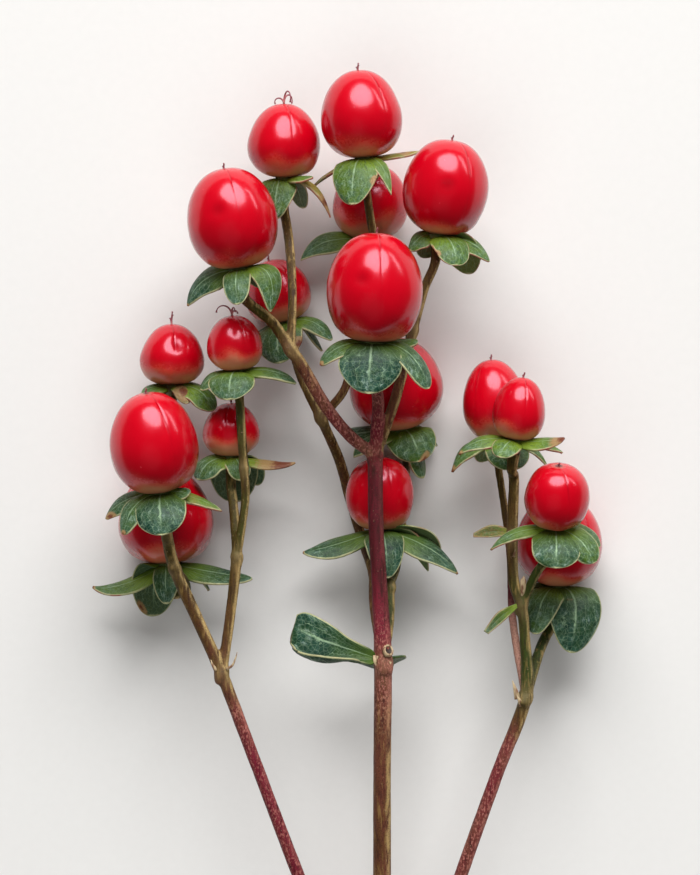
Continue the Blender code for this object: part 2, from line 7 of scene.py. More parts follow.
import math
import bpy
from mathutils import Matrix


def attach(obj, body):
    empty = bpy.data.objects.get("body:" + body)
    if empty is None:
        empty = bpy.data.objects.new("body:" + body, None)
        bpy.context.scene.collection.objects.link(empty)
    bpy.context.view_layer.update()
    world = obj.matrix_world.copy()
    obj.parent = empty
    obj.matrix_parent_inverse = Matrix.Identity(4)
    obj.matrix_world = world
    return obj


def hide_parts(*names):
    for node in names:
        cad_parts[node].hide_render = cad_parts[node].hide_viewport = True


bl_info = {
    "name": "Hypericum Berry Stem",
    "version": (1, 0, 0),
    "blender": (4, 5, 0),
    "location": "3D View > Sidebar > Hypericum",
    "description": "Builds the berries, calyces, bark and leaves of a cut hypericum stem",
    "category": "Add Mesh",
}

import bmesh
import bpy
from mathutils import Vector, kdtree, noise

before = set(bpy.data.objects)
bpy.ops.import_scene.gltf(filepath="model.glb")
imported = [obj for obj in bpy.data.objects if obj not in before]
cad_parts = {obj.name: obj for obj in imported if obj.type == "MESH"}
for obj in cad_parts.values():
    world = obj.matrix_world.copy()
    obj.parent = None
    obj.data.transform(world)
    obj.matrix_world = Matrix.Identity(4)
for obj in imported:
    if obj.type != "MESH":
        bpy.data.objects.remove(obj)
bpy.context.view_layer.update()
MM = 0.001
UP = Vector((0, 0, 1))

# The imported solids' own proportions
GAP = 0.3
CUP_HEIGHT = 1.3
CUP_TO_BERRY = 0.13
CUP_FOOT = 0.65
STALK_FLARE = 1.2
STALK_LEAD = 2.4
NODE_SWELL = 1.16
NODE_END = 0.7
NODE_REACH = 1.7
BERRY_FULLNESS = 0.86
# Berries with squarer shoulders, and their fullness instead of that
SQUARER = {"low_mid": 0.74, "right_front": 0.76, "crown_right": 0.8, "crown_front": 0.8}
SUTURES = 3
SUTURE_DEPTH = 0.03
SUTURE_SHARPNESS = 6
BASE_LOBES = 5
BASE_LOBE_DEPTH = 0.05
BASE_LOBE_TURN = 0.9
SEPAL_TURN = 0.65
SEPAL_HOLLOW = 0.22

# A berry's skin: how much of the solids' soft groove is left beside the fine line, that line's width in
# radians, unevenness as shares of the radius, the folds round the tip, and the width of a dimple in mm
FURROW_SHARE = 0.45
LINE_WIDTH = 0.035
SHOULDER_HEIGHT = 0.004
SKIN_SWELL = 0.024
SKIN_RIPPLE = 0.006
TIP_PUCKER = 0.06
TIP_FOLDS = 9
FOOT_PUCKER = 0.035
DIMPLE_WIDTH = 0.95

# Blades: waved and rippled margins as shares of half the width, then swells and the midrib's groove in mm
MARGIN_WAVER = 0.1
SEPAL_RIPPLE = 0.11
SEPAL_SWELL = 0.14
LEAF_SWELL = 0.18
MIDRIB_GROOVE = 0.05

# Ribs and grain of the bark: a rib's height as a share of the radius, the grain's height in mm
RIB_HEIGHT = 0.13
GRAIN_HEIGHT = 0.04

# Fineness of the surfaces
BERRY_SIDES = 84
BERRY_RINGS = 60
SUTURE_CROWDING = 0.8      # how far the sides of a berry crowd toward its grooves
SEPAL_ROWS = 26
SEPAL_COLUMNS = 15
LEAF_ROWS = 36
LEAF_COLUMNS = 21
TUBE_SIDES = 16
CUP_SIDES = 24
STYLE_SIDES = 8
STYLE_STEPS = 18
SCRAP_SIDES = 14
TUBE_STEP = 0.6
NODE_STEPS = 4
SMOOTHINGS = 3
SCRAP_STEP = 0.15

# Numbers that are painted on every blade, and their values on a cup
BLADE_PAINT = ("along", "across", "edge", "tone", "browned", "upper")
CUP_PAINT = (0.5, 0.5, 1.0, 0.7, 0.0, -1.0)

# Berry: centre, width, length, lean to the right in degrees, rise of its tip in degrees, how much broader it
# is toward the base, where its nearest groove runs in degrees right of the front, and how pale its base is.
BERRIES = {
    "left_front": ((-27.0, 32.7, 19.0), 12.3, 14.1, -8, 12, 0.1, 27, 0.32),
    "left_top": ((-24.8, 45.1, 10.0), 8.9, 8.6, -1, 0, 0.2, 8, 0.6),
    "left_inner": ((-15.9, 46.6, 14.0), 7.8, 7.8, -5, 0, 0.14, 25, 0.62),
    "left_back": ((-16.5, 34.5, 8.8), 8.0, 7.6, 0, 0, 0.12, -10, 0.75),
    "left_low": ((-25.9, 22.4, 6.4), 13.2, 13.8, -4, 0, 0.18, 50, 0.2),
    "crown_left": ((-16.1, 63.8, 19.6), 12.6, 14.0, -9, 5, 0.08, 12, 0.2),
    "crown_mid": ((-9.0, 75.1, 11.8), 10.1, 10.4, 0, 3, 0.15, 16, 0.42),
    "crown_top": ((1.8, 78.6, 15.0), 11.3, 12.3, -4, 2, 0.13, 38, 0.3),
    "crown_back": ((3.2, 66.9, 5.2), 10.7, 10.8, 4, 0, 0.1, -20, 0.6),
    "crown_right": ((13.6, 68.3, 16.0), 11.9, 13.3, 8, 4, 0.06, 34, 0.15),
    "crown_front": ((3.7, 54.1, 22.0), 13.3, 15.1, 2, 4, 0.08, 8, 0.15),
    "inner_back": ((-10.1, 54.2, 4.5), 9.4, 9.1, -15, 0, 0.1, 30, 0.5),
    "low_back": ((6.7, 41.0, 6.5), 13.3, 13.0, -9, 12, 0.08, 40, 0.25),
    "low_mid": ((4.5, 25.5, 7.4), 9.6, 10.3, -1, 5, 0.06, 20, 0.42),
    "right_back": ((20.6, 38.7, 8.8), 8.9, 11.4, -4, 0, 0.14, -40, 0.55),
    "right_top": ((23.9, 37.4, 16.8), 7.3, 8.8, 7, 3, 0.16, 12, 0.48),
    "right_front": ((29.1, 25.2, 18.0), 9.1, 9.2, 2, 22, 0.04, 20, 0.36),
    "right_low": ((29.9, 18.7, 6.0), 12.3, 12.8, 0, 5, 0.08, 45, 0.25),
}

# Dimples on the skin: where round the berry in degrees right of the front, and where between base and tip.
DIMPLES = {
    "crown_right": (2, 0.05), "crown_front": (-17, 0.16), "crown_left": (-16, 0.22), "left_top": (15, 0.3),
}

# Styles on a berry's tip: the longest one's length, how far they curl over and which way that one heads, in
# radians.
STYLES = {"crown_mid": (4.4, 3.6, 0.4), "crown_top": (0.95, 0.7, 0.4), "left_inner": (3.4, 3.0, 4.5),
          "left_top": (1.7, 0.5, 0.4), "right_front": (0.5, 0.6, 0.4)}
STYLES_SHORT = (0.7, 0.6, 0.4)
STYLE_RADIUS = 0.15
STYLE_SUNK = 0.25

# Five sepals to a calyx: the tip, the width, and the tone from blue-green at 0 to yellow-green at 1.
SEPALS = {
    "crown_front": [
        ((2.8, 39.4, 25.5), 8.7, 0.05), ((-3.8, 43.3, 23.0), 3.6, 0.45), ((11.0, 40.1, 23.5), 4.4, 0.2),
        ((9.6, 46.9, 18.0), 3.4, 0.7), ((0.6, 45.0, 16.0), 4.0, 0.5)],
    "crown_top": [
        ((0.6, 65.7, 19.0), 6.3, 0.6), ((6.0, 67.1, 18.5), 2.3, 0.85), ((10.1, 73.6, 11.6), 1.8, 0.95),
        ((-4.9, 68.7, 9.5), 2.2, 1.0), ((2.8, 69.0, 10.5), 4.2, 0.5)],
    "crown_right": [
        ((15.0, 57.2, 20.0), 5.3, 0.65), ((8.7, 59.4, 16.0), 3.9, 0.6), ((19.7, 57.9, 16.0), 4.2, 0.6),
        ((17.0, 56.3, 13.0), 5.3, 0.9), ((10.7, 58.7, 10.0), 3.9, 0.7)],
    "crown_mid": [
        ((-10.2, 63.9, 13.6), 5.3, 0.5), ((-4.9, 69.6, 15.8), 2.2, 0.85), ((-2.5, 64.2, 13.6), 1.3, 1.0),
        ((-6.3, 65.8, 8.1), 4.2, 0.4), ((-12.1, 66.4, 8.6), 3.9, 0.4)],
    "crown_left": [
        ((-22.3, 51.7, 17.0), 4.8, 0.15), ((-15.2, 51.7, 23.5), 3.9, 0.3), ((-10.8, 50.8, 21.0), 4.4, 0.45),
        ((-12.1, 54.4, 13.0), 3.4, 0.3), ((-18.2, 54.1, 12.5), 3.4, 0.3)],
    "crown_back": [
        ((-6.7, 58.5, 6.6), 3.6, 0.35), ((8.0, 58.3, 5.0), 3.7, 0.5), ((1.7, 56.7, 9.5), 4.2, 0.4),
        ((5.3, 58.5, 1.5), 3.4, 0.5), ((0.3, 58.5, 1.5), 3.4, 0.5)],
    "inner_back": [
        ((-9.5, 43.9, 8.0), 6.8, 0.35), ((-2.3, 47.2, 6.0), 3.4, 0.4), ((-3.7, 45.7, 3.0), 4.3, 0.4),
        ((-13.1, 47.6, 3.7), 3.5, 0.4), ((-9.2, 46.6, 1.5), 3.2, 0.4)],
    "low_back": [
        ((10.2, 30.0, 8.3), 7.2, 0.4), ((10.6, 27.6, 6.0), 4.8, 0.55), ((12.7, 32.2, 2.0), 3.7, 0.5),
        ((-0.4, 33.6, 5.0), 4.3, 0.2), ((0.8, 30.6, 11.0), 3.2, 0.3)],
    "low_mid": [
        ((-6.4, 17.1, 8.0), 4.2, 0.15), ((5.6, 13.6, 11.4), 5.6, 0.1), ((15.5, 14.1, 9.0), 4.6, 0.15),
        ((13.1, 17.1, 5.6), 4.8, 0.5), ((11.4, 14.4, 4.4), 3.8, 0.55)],
    "left_front": [
        ((-25.6, 19.9, 22.5), 7.2, 0.1), ((-31.1, 19.9, 20.5), 3.6, 0.3), ((-33.7, 22.0, 17.0), 3.6, 0.25),
        ((-17.6, 23.1, 17.0), 2.2, 0.9), ((-22.0, 25.5, 19.5), 2.5, 0.4)],
    "left_top": [
        ((-29.0, 39.5, 11.0), 2.8, 0.6), ((-19.0, 37.1, 11.5), 4.6, 0.85), ((-22.6, 38.1, 12.4), 2.5, 0.6),
        ((-26.2, 38.3, 6.0), 3.4, 0.4), ((-22.2, 39.2, 5.5), 3.1, 0.4)],
    "left_inner": [
        ((-16.5, 38.6, 18.0), 6.4, 0.35), ((-7.3, 40.9, 13.5), 3.1, 0.35), ((-20.5, 40.0, 15.0), 3.1, 0.45),
        ((-11.6, 41.9, 9.5), 3.7, 0.4), ((-18.9, 41.2, 9.5), 3.7, 0.4)],
    "left_back": [
        ((-21.1, 27.4, 10.5), 4.8, 0.4), ((-15.0, 27.3, 11.4), 3.7, 0.5), ((-7.4, 29.8, 10.6), 2.2, 0.9),
        ((-16.1, 24.2, 5.0), 7.1, 0.1), ((-12.8, 26.6, 5.5), 4.0, 0.1)],
    "left_low": [
        ((-36.2, 12.2, 7.0), 4.0, 0.6), ((-27.8, 7.9, 3.8), 7.2, 0.15), ((-25.6, 9.9, 9.9), 3.7, 0.25),
        ((-13.5, 13.4, 9.0), 4.4, 0.2), ((-19.8, 11.6, 4.0), 3.4, 0.5)],
    "right_back": [
        ((14.7, 28.5, 9.0), 3.4, 0.6), ((23.3, 28.8, 12.2), 6.3, 0.45), ((28.0, 29.4, 10.0), 2.3, 0.6),
        ((19.1, 29.9, 3.0), 3.7, 0.5), ((23.4, 30.2, 3.0), 3.4, 0.5)],
    "right_top": [
        ((15.5, 31.0, 17.0), 3.1, 0.6), ((21.1, 30.6, 20.0), 3.9, 0.8), ((30.1, 33.3, 19.0), 3.1, 0.7),
        ((30.0, 31.2, 14.0), 2.2, 0.8), ((22.1, 31.4, 13.4), 2.5, 0.6)],
    "right_front": [
        ((19.9, 17.7, 17.0), 2.2, 0.65), ((28.8, 15.3, 21.0), 6.9, 0.2), ((34.1, 15.9, 19.0), 4.6, 0.5),
        ((35.2, 18.2, 15.0), 3.4, 0.5), ((27.1, 17.9, 12.5), 3.1, 0.4)],
    "right_low": [
        ((26.3, 5.7, 11.0), 4.9, 0.35), ((31.4, 3.0, 9.5), 7.8, 0.1), ((24.5, 11.3, 4.5), 3.1, 0.4),
        ((33.2, 9.7, 1.4), 3.4, 0.5), ((28.2, 9.3, 1.4), 3.4, 0.5)],
}

# Sepals that twist their face more toward the front than SEPAL_TURN does; below 0, their back.
SEPAL_TURNS = {
    ("crown_left", 0): 1.1, ("crown_right", 3): -1.4, ("crown_back", 0): 1.6, ("low_back", 1): -0.5,
    ("low_mid", 3): -0.8, ("low_mid", 4): -0.8, ("left_low", 1): -1.4, ("left_back", 4): -1.2,
}
# Sepals that are drawn out of the plain curve, by an offset of its middle.
SEPAL_BOWS = {
    ("crown_left", 2): (2.8, 0.9, 0.5), ("crown_top", 3): (0.8, -1.0, 0.0),
    ("left_front", 3): (-0.6, -1.6, 0.0),
    ("low_mid", 0): (0.0, -3.2, 0.0), ("low_mid", 2): (0.0, -2.6, 0.0), ("left_low", 0): (0.6, -4.2, 0.0),
    ("left_low", 3): (-1.0, -2.6, 0.0), ("right_low", 1): (2.2, 0.0, 0.0), ("left_back", 2): (0.0, -1.8, 0.0),
    ("low_back", 0): (0.0, 0.0, 0.5), ("low_back", 1): (0.0, 0.0, -1.0), ("low_mid", 3): (0.0, 0.0, -0.8),
}

# How pointed a sepal is, where its length doesn't tell.
SEPAL_POINTS = {
    ("crown_left", 0): 0.9, ("crown_left", 2): 0.6, ("crown_top", 0): 0.0, ("crown_mid", 0): 0.5,
    ("crown_right", 2): 0.8, ("low_back", 0): 0.0, ("low_back", 1): 0.0, ("low_mid", 1): 0.35,
    ("left_low", 3): 0.8, ("right_back", 0): 0.8, ("right_low", 0): 0.0, ("right_low", 1): 0.1,
    ("left_front", 0): 0.0, ("left_front", 1): 0.1, ("left_inner", 1): 0.7, ("left_top", 0): 0.6,
    ("crown_front", 2): 0.0,
}

# Browned places on sepals: calyx, sepal, share of its length, place across it, size in mm.
BROWNED = [
    ("crown_top", 0, 0.66, 1.05, 0.7), ("crown_top", 3, 0.98, 0.0, 0.8), ("crown_top", 2, 0.6, 0.6, 1.0),
    ("right_low", 1, 0.42, -0.12, 0.35), ("inner_back", 0, 0.75, 0.95, 0.9),
    ("left_front", 2, 0.9, 0.7, 0.8), ("left_front", 1, 0.98, 0.0, 0.35), ("crown_front", 1, 1.0, 0.0, 0.55),
    ("left_low", 1, 0.9, 0.8, 0.5), ("left_low", 0, 1.0, 0.0, 0.5), ("right_top", 2, 0.95, 0.0, 2.0),
    ("right_top", 0, 1.0, 0.0, 0.6), ("right_back", 0, 1.0, 0.0, 0.7), ("crown_right", 0, 0.7, -1.05, 0.55),
    ("crown_right", 0, 0.45, -1.1, 0.4), ("left_top", 2, 0.6, 0.0, 1.2), ("left_front", 0, 0.5, -1.1, 0.3),
    ("left_front", 0, 0.62, 0.1, 0.18), ("crown_mid", 2, 0.8, 0.2, 0.9), ("low_back", 0, 0.98, 0.5, 0.6),
    ("left_back", 2, 0.72, 0.0, 3.2), ("crown_left", 0, 1.0, 0.0, 0.3), ("low_mid", 0, 1.0, 0.0, 0.35),
    ("right_front", 0, 1.0, 0.0, 0.3), ("low_mid", 2, 1.0, 0.0, 0.35),
]

# Each length of stem: points with a radius, the berry that it carries, and its tones from root to tip. A tone
# below 0 is pale pink, 0 purple-red, 0.2 crimson, 0.38 red-brown, 0.65 golden brown and 1 olive.
STEMS = [
    ([(5.1, -86.0, 1.3, 1.35), (5.1, -75.4, 2.2, 1.35), (5.0, -60.1, 4.5, 1.32), (4.9, -43.3, 8.0, 1.28),
      (4.8, -28.2, 10.5, 1.25), (4.8, -11.8, 12.8, 1.22), (4.9, 2.0, 14.0, 1.25), (4.5, 10.6, 14.0, 1.12),
      (3.9, 21.8, 14.0, 1.05), (3.8, 30.9, 14.0, 1.05)], None, (0.4, 0.35, 0.35, 0.4, 0.5, 0.38, 0.02, 0.1)),
    ([(3.8, 30.9, 14.0, 0.9), (4.2, 38.6, 17.0, 0.85)], "crown_front", (0.15, 0.3, 0.5)),
    ([(3.8, 30.9, 14.0, 0.8), (6.1, 37.2, 15.2, 0.75), (7.7, 42.8, 15.4, 0.75), (9.0, 48.2, 14.6, 0.75)],
     None, (0.55, 0.5, 0.6)),
    ([(9.0, 48.2, 14.6, 0.7), (10.6, 54.0, 15.0, 0.68)], "crown_right", (0.6, 0.75)),
    ([(9.0, 48.2, 14.6, 0.65), (6.7, 53.2, 13.0, 0.6), (3.9, 60.4, 13.2, 0.62)], "crown_top",
     (0.6, 0.75, 0.7)),
    ([(3.8, 30.9, 14.0, 0.85), (0.3, 33.6, 14.8, 0.85), (-3.2, 37.9, 15.4, 0.85), (-6.4, 43.4, 15.8, 0.85),
      (-8.0, 45.6, 16.0, 0.85)], None, (0.3, 0.35, 0.4, 0.6)),
    ([(-8.0, 45.6, 16.0, 0.78), (-10.6, 49.5, 16.6, 0.75)], "crown_left", (0.6, 0.8, 0.55)),
    ([(-8.0, 45.6, 16.0, 0.65), (-7.8, 53.9, 14.4, 0.62), (-8.3, 61.0, 10.8, 0.68)], "crown_mid",
     (0.7, 0.65, 0.85)),
    ([(4.9, 2.0, 14.0, 0.75), (3.7, 9.8, 11.0, 0.72), (3.5, 14.3, 8.3, 0.72), (2.0, 19.0, 3.4, 0.72),
      (0.3, 24.5, 2.2, 0.72), (-1.0, 29.5, 4.5, 0.72), (-2.4, 33.0, 7.5, 0.72), (-3.8, 36.0, 9.0, 0.72)],
     None, (0.5, 0.6, 0.6, 0.65)),
    ([(-3.8, 36.0, 9.0, 0.6), (-5.6, 39.4, 9.0, 0.55), (-7.1, 42.9, 8.0, 0.55)], "inner_back", (0.6, 0.7)),
    ([(-3.8, 36.0, 9.0, 0.62), (-2.3, 37.8, 9.4, 0.62), (-0.4, 40.4, 10.0, 0.62), (0.8, 45.8, 9.0, 0.6)],
     "crown_back", (0.5, 0.6, 0.7)),
    ([(4.9, 2.0, 14.0, 0.75), (5.8, 7.7, 11.4, 0.7), (5.9, 12.6, 9.5, 0.7)], None, (0.6, 0.9, 1.0)),
    ([(5.9, 12.6, 9.5, 0.62)], "low_mid", (1.0, 1.0)),
    ([(5.9, 12.6, 9.5, 0.65), (6.9, 15.2, 4.4, 0.62), (7.6, 19.6, 1.4, 0.62), (8.0, 25.9, 1.1, 0.62)],
     "low_back", (1.0, 0.8)),
    ([(5.0, -60.1, 4.5, 1.0), (-1.1, -43.4, 7.5, 0.95), (-7.0, -28.3, 10.0, 0.9), (-12.6, -13.3, 12.0, 0.85),
      (-17.7, 0.3, 13.5, 0.88), (-20.7, 7.1, 14.0, 0.86), (-24.2, 14.9, 14.3, 0.86),
      (-25.3, 19.8, 15.8, 0.82)],
     "left_front", (0.3, 0.25, 0.2, 0.2, 0.2, 0.55, 0.7, 0.9)),
    ([(-24.2, 14.9, 14.3, 0.6), (-22.9, 13.2, 11.5, 0.6), (-22.9, 11.5, 8.5, 0.6)], "left_low", (0.8, 0.9)),
    ([(-25.3, 19.8, 15.8, 0.55), (-24.9, 23.5, 14.4, 0.55), (-24.2, 27.4, 12.4, 0.52),
      (-24.0, 33.0, 9.8, 0.52)], "left_top", (0.8, 0.9)),
    ([(-17.7, 0.3, 13.5, 0.75), (-16.5, 8.5, 13.0, 0.72), (-15.6, 16.6, 12.5, 0.78)], None,
     (0.55, 0.65, 0.75)),
    ([(-15.6, 16.6, 12.5, 0.68), (-16.0, 22.5, 11.0, 0.7)], "left_back", (0.8, 0.9)),
    ([(-15.6, 16.6, 12.5, 0.62), (-14.4, 24.6, 13.4, 0.6), (-14.6, 29.1, 13.6, 0.66)], "left_inner",
     (0.8, 0.85, 0.9)),
    ([(5.0, -60.1, 4.5, 1.0), (10.9, -43.4, 7.5, 0.95), (15.9, -28.3, 10.0, 0.92), (20.9, -14.0, 12.0, 0.88),
      (24.9, -3.0, 13.2, 0.9), (24.8, 5.0, 13.4, 0.75), (24.3, 9.8, 13.4, 0.8), (23.2, 13.4, 13.5, 0.78),
      (23.0, 19.7, 13.6, 0.78), (23.2, 27.5, 14.8, 0.74)], "right_top",
     (0.35, 0.35, 0.36, 0.36, 0.36, 0.38, 1.0, 0.85, 0.65, 0.85)),
    ([(24.3, 9.8, 13.4, 0.66), (26.6, 14.9, 15.0, 0.64)], "right_front", (1.0, 1.0)),
    ([(24.9, -3.0, 13.2, 0.75), (26.6, 2.0, 9.4, 0.75), (27.9, 5.0, 6.9, 0.75)], "right_low", (1.0, 1.0)),
    ([(24.9, -3.0, 13.2, 0.6), (23.2, 7.7, 11.0, 0.56), (22.9, 16.1, 10.0, 0.55), (22.3, 22.0, 9.3, 0.55)],
     "right_back", (-0.8, -0.3, 0.6, 0.75)),
]

# Swollen nodes along the stems: the place and the radius of the stem there.
SWELLINGS = [
    ((5.0, -60.1, 4.5), 1.35), ((4.9, 2.0, 14.0), 1.25), ((3.8, 30.9, 14.0), 1.05),
    ((9.0, 48.2, 14.6), 0.8), ((-8.0, 45.6, 16.0), 0.85), ((-3.8, 36.0, 9.0), 0.8),
    ((5.9, 12.6, 9.5), 0.75), ((-17.7, 0.3, 13.5), 0.95),
    ((-24.2, 14.9, 14.3), 0.85), ((-25.3, 19.8, 15.8), 0.75), ((-15.6, 16.6, 12.5), 0.8),
    ((-14.6, 29.1, 13.6), 0.65), ((24.9, -3.0, 13.2), 0.95), ((24.3, 9.8, 13.4), 0.82),
    ((23.0, 19.7, 13.6), 0.78),
]

# Small leaves: points along the rib, each with the leaf's margins as offsets from it.
LEAVES = {
    "leaf_main_left": [
        ((3.9, 2.5, 14.2), (0.1, 0.4, 0.1), (0.0, -0.35, 0.1), (0.0, -0.5, 0.4)),
        ((3.0, 2.9, 14.6), (0.2, 0.9, 0.3), (-0.1, -0.8, 0.3), (0.0, -1.2, 1.2)),
        ((0.2, 3.9, 15.0), (0.3, 1.3, 0.4), (-0.2, -1.5, 0.3), (0.0, -1.3, 1.6)),
        ((-3.2, 5.1, 15.2), (0.6, 2.3, 0.3), (-0.3, -2.9, 0.2), (-0.1, -2.2, 1.8)),
        ((-6.2, 6.3, 14.4), (0.6, 2.6, 0.0), (-0.6, -2.8, 0.1), (-0.5, -2.9, 1.4)),
        ((-7.6, 6.8, 13.6), (0.5, 1.8, 0.0), (-0.5, -1.6, 0.0), (-0.4, -2.4, 0.8))],
    "leaf_main_right": [
        ((5.0, 2.4, 12.0), (-1.6, 0.1, 0.0), (1.6, 0.1, 0.0)),
        ((4.9, 1.8, 10.2), (-3.6, 0.6, 0.2), (3.2, 0.8, 0.2)),
        ((4.7, 0.9, 7.6), (-3.4, 0.8, 0.3), (3.1, 1.2, 0.3)),
        ((4.6, 0.7, 5.8), (-1.0, 0.3, 0.1), (1.0, 0.3, 0.1))],
    "leaf_right_upper": [
        ((22.5, 20.0, 13.4), (0.0, 0.4, 0.1), (0.0, -0.4, 0.1)),
        ((21.6, 20.2, 13.2), (0.0, 0.7, 0.2), (0.0, -0.6, 0.2)),
        ((19.8, 20.2, 12.8), (0.0, 0.9, 0.3), (0.0, -0.8, 0.2)),
        ((17.6, 19.7, 12.4), (0.0, 0.3, 0.1), (0.0, -0.3, 0.1))],
    "leaf_right_middle": [
        ((23.6, 9.9, 15.0), (-0.1, 0.3, 0.1), (0.1, -0.3, 0.1)),
        ((21.4, 8.4, 15.0), (-0.4, 0.6, 0.3), (0.4, -0.6, 0.2)),
        ((19.3, 6.1, 14.6), (-0.3, 0.2, 0.1), (0.3, -0.2, 0.1))],
}
LEAF_TONES = {
    "leaf_main_left": 0.05, "leaf_main_right": 0.1, "leaf_right_upper": 0.6, "leaf_right_middle": 0.5,
}
LEAF_DRYNESS = {"leaf_right_upper": 0.24, "leaf_right_middle": 0.16}

# Dry scraps on the stem: name, points with a radius, and how flat each is.
SCRAPS = [
    ("scale_right_fork", [(23.7, -3.2, 14.1, 0.42), (23.5, -2.2, 14.5, 0.34), (23.0, -0.6, 14.6, 0.05)], 0.3),
    ("scale_right_fork_low", [(24.3, -4.2, 14.0, 0.34), (24.0, -3.4, 14.4, 0.25), (23.6, -2.6, 14.5, 0.05)],
     0.3),
    ("bud_right", [(24.4, 11.2, 14.2, 0.2), (24.5, 12.2, 14.6, 0.36), (24.5, 13.3, 14.8, 0.42),
                   (24.6, 14.0, 14.8, 0.08)], 0.35),
    ("tendril_left", [(-17.0, 1.0, 14.4, 0.2), (-16.2, 1.5, 14.7, 0.16), (-15.7, 2.6, 14.8, 0.1),
                      (-15.5, 3.4, 14.7, 0.04)], 0.9),
    ("scale_left_fork", [(-18.4, 0.8, 14.2, 0.26), (-18.9, 1.5, 14.4, 0.18), (-19.2, 2.3, 14.4, 0.04)], 0.4),
    ("scale_upper_leaf", [(23.2, 16.7, 14.2, 0.18), (23.3, 17.3, 14.5, 0.12), (23.4, 17.8, 14.6, 0.04)], 0.6),
    ("scale_main_fork", [(3.9, 2.9, 15.0, 0.42), (3.8, 2.2, 15.2, 0.3), (3.9, 1.5, 15.1, 0.05)], 0.3),
    ("scale_main_fork_low", [(5.6, 2.1, 15.1, 0.5), (5.5, 1.4, 15.2, 0.34), (5.2, 0.7, 15.1, 0.05)], 0.3),
]

# The raised scar where a leaf broke off, on the front of the main node: its middle, a point inside the stem
# below it, its radius, and the share of the radius, height in mm and darkness of each ring.
SCAR_PLACE = (5.7, 3.7, 15.35)
SCAR_INSIDE = (4.9, 3.0, 14.0)
SCAR_RADIUS = 0.78
SCAR_OVAL = 1.15
SCAR_SIDES = 28
SCAR_RINGS = (
    (1.0, -0.6, 0), (1.0, -0.2, 0), (0.92, 0.06, 0), (0.74, 0.08, 0), (0.6, -0.02, 0.6), (0.54, -0.14, 1),
    (0.3, -0.2, 1),
)

# Colours that the looks below don't offer
BERRY_BLUSH = (0.6, 0.05, 0.03)
# Brown of a berry's foot: dry remains, and painted shade where it sits in the cup.
BERRY_FOOT_REMAINS_AND_SHADE = (0.12, 0.07, 0.025)
BERRY_TIP = (0.42, 0.12, 0.09)
BERRY_NAVEL = (0.05, 0.012, 0.01)
BERRY_SPECK = (0.85, 0.16, 0.2)
BERRY_GLOSS = (1.0, 0.44, 0.64)
STYLE_FOOT = (0.6, 0.22, 0.22)
BLADE_FOOT = (0.2, 0.3, 0.02)
BLADE_FIBRE = (0.003, 0.022, 0.009)
# Painted sheen on the blades: a teal cast and a whitish glint.
PAINTED_SHEEN_TEAL = (0.03, 0.09, 0.06)
PAINTED_SHEEN_WHITE = (0.42, 0.54, 0.5)
BLADE_GOLDEN = (0.3, 0.17, 0.02)
UNDER_DARK = (0.05, 0.09, 0.045)
UNDER_PALE = (0.12, 0.16, 0.04)
RIM_RED = (0.3, 0.06, 0.05)
DRY_TAN = (0.32, 0.19, 0.08)
# Pale pink and golden of the ribs, partly a painted highlight; the flecks on the red stems take them too.
RIDGE_PINK = (0.44, 0.16, 0.13)
RIDGE_GOLDEN = (0.48, 0.34, 0.14)
BARK_CRACK = (0.014, 0.006, 0.004)
BARK_PINK = (0.5, 0.27, 0.2)
BARK_GRAIN = (0.02, 0.009, 0.005)
BARK_MOTTLE = (0.38, 0.23, 0.08)
LENTICEL = (0.5, 0.33, 0.2)
NODE_GOLDEN = (0.28, 0.2, 0.09)
PITH_CREAM = (0.55, 0.48, 0.32)
PITH_BROWN = (0.3, 0.2, 0.1)
SCALE_CREAM = (0.5, 0.38, 0.22)
SCALE_BROWN = (0.17, 0.07, 0.035)
SCAR_HOLE = (0.02, 0.008, 0.005)
ROOM_WHITE = (1.0, 0.99, 0.97, 1.0)

# Soft lights in metres: name, place, size, the look that holds the power, and whether glossy skin mirrors it
SOFTBOXES = (
    ("key softbox", (0.06, 1.0, 0.8), (1.3, 0.95), "key_power", True),
    ("side softbox", (0.85, 0.8, 0.36), (0.8, 0.14), "fill_power", True),
    ("front bounce", (-0.15, -0.4, 0.9), (0.9, 0.9), "bounce_power", False),
)
LIGHTS_AIM = (0, 0.035, 0.01)
FLOOR_REACH = 2.0
CAMERA_OVER = (0.00028, 0.0334)    # the point on the floor below the camera, in metres
SENSOR_HEIGHT = 36.0
FOCAL_LENGTH = 176.3
NEAREST_SEEN = 0.01


class BerryLook(bpy.types.PropertyGroup):
    """Colours and finish of the berries."""
    ripe: bpy.props.FloatVectorProperty(
        name="Ripe skin", description="Colour of a ripe berry", subtype="COLOR", size=3,
        default=(0.52, 0.0, 0.008), min=0, max=1)
    # The deep red also serves as painted shade on the lower half and in the grooves and dimples.
    deep: bpy.props.FloatVectorProperty(
        name="Deep skin", description="Darker red of the lower half", subtype="COLOR", size=3,
        default=(0.27, 0.0, 0.004), min=0, max=1)
    unripe: bpy.props.FloatVectorProperty(
        name="Unripe base", description="Colour of the pale base of a berry", subtype="COLOR", size=3,
        default=(0.52, 0.2, 0.1), min=0, max=1)
    style: bpy.props.FloatVectorProperty(
        name="Style", description="Colour of the dry styles on the tip", subtype="COLOR", size=3,
        default=(0.24, 0.05, 0.07), min=0, max=1)
    groove: bpy.props.FloatProperty(
        name="Groove depth", description="Depth of the fine line along each suture", unit="LENGTH",
        default=0.00007, min=0, max=0.0005)
    dimple: bpy.props.FloatProperty(
        name="Dimple depth", description="Depth of the dimples on the largest berries", unit="LENGTH",
        default=0.00025, min=0, max=0.001)
    roughness: bpy.props.FloatProperty(
        name="Roughness", description="Roughness of the skin", subtype="FACTOR", default=0.24, min=0, max=1)


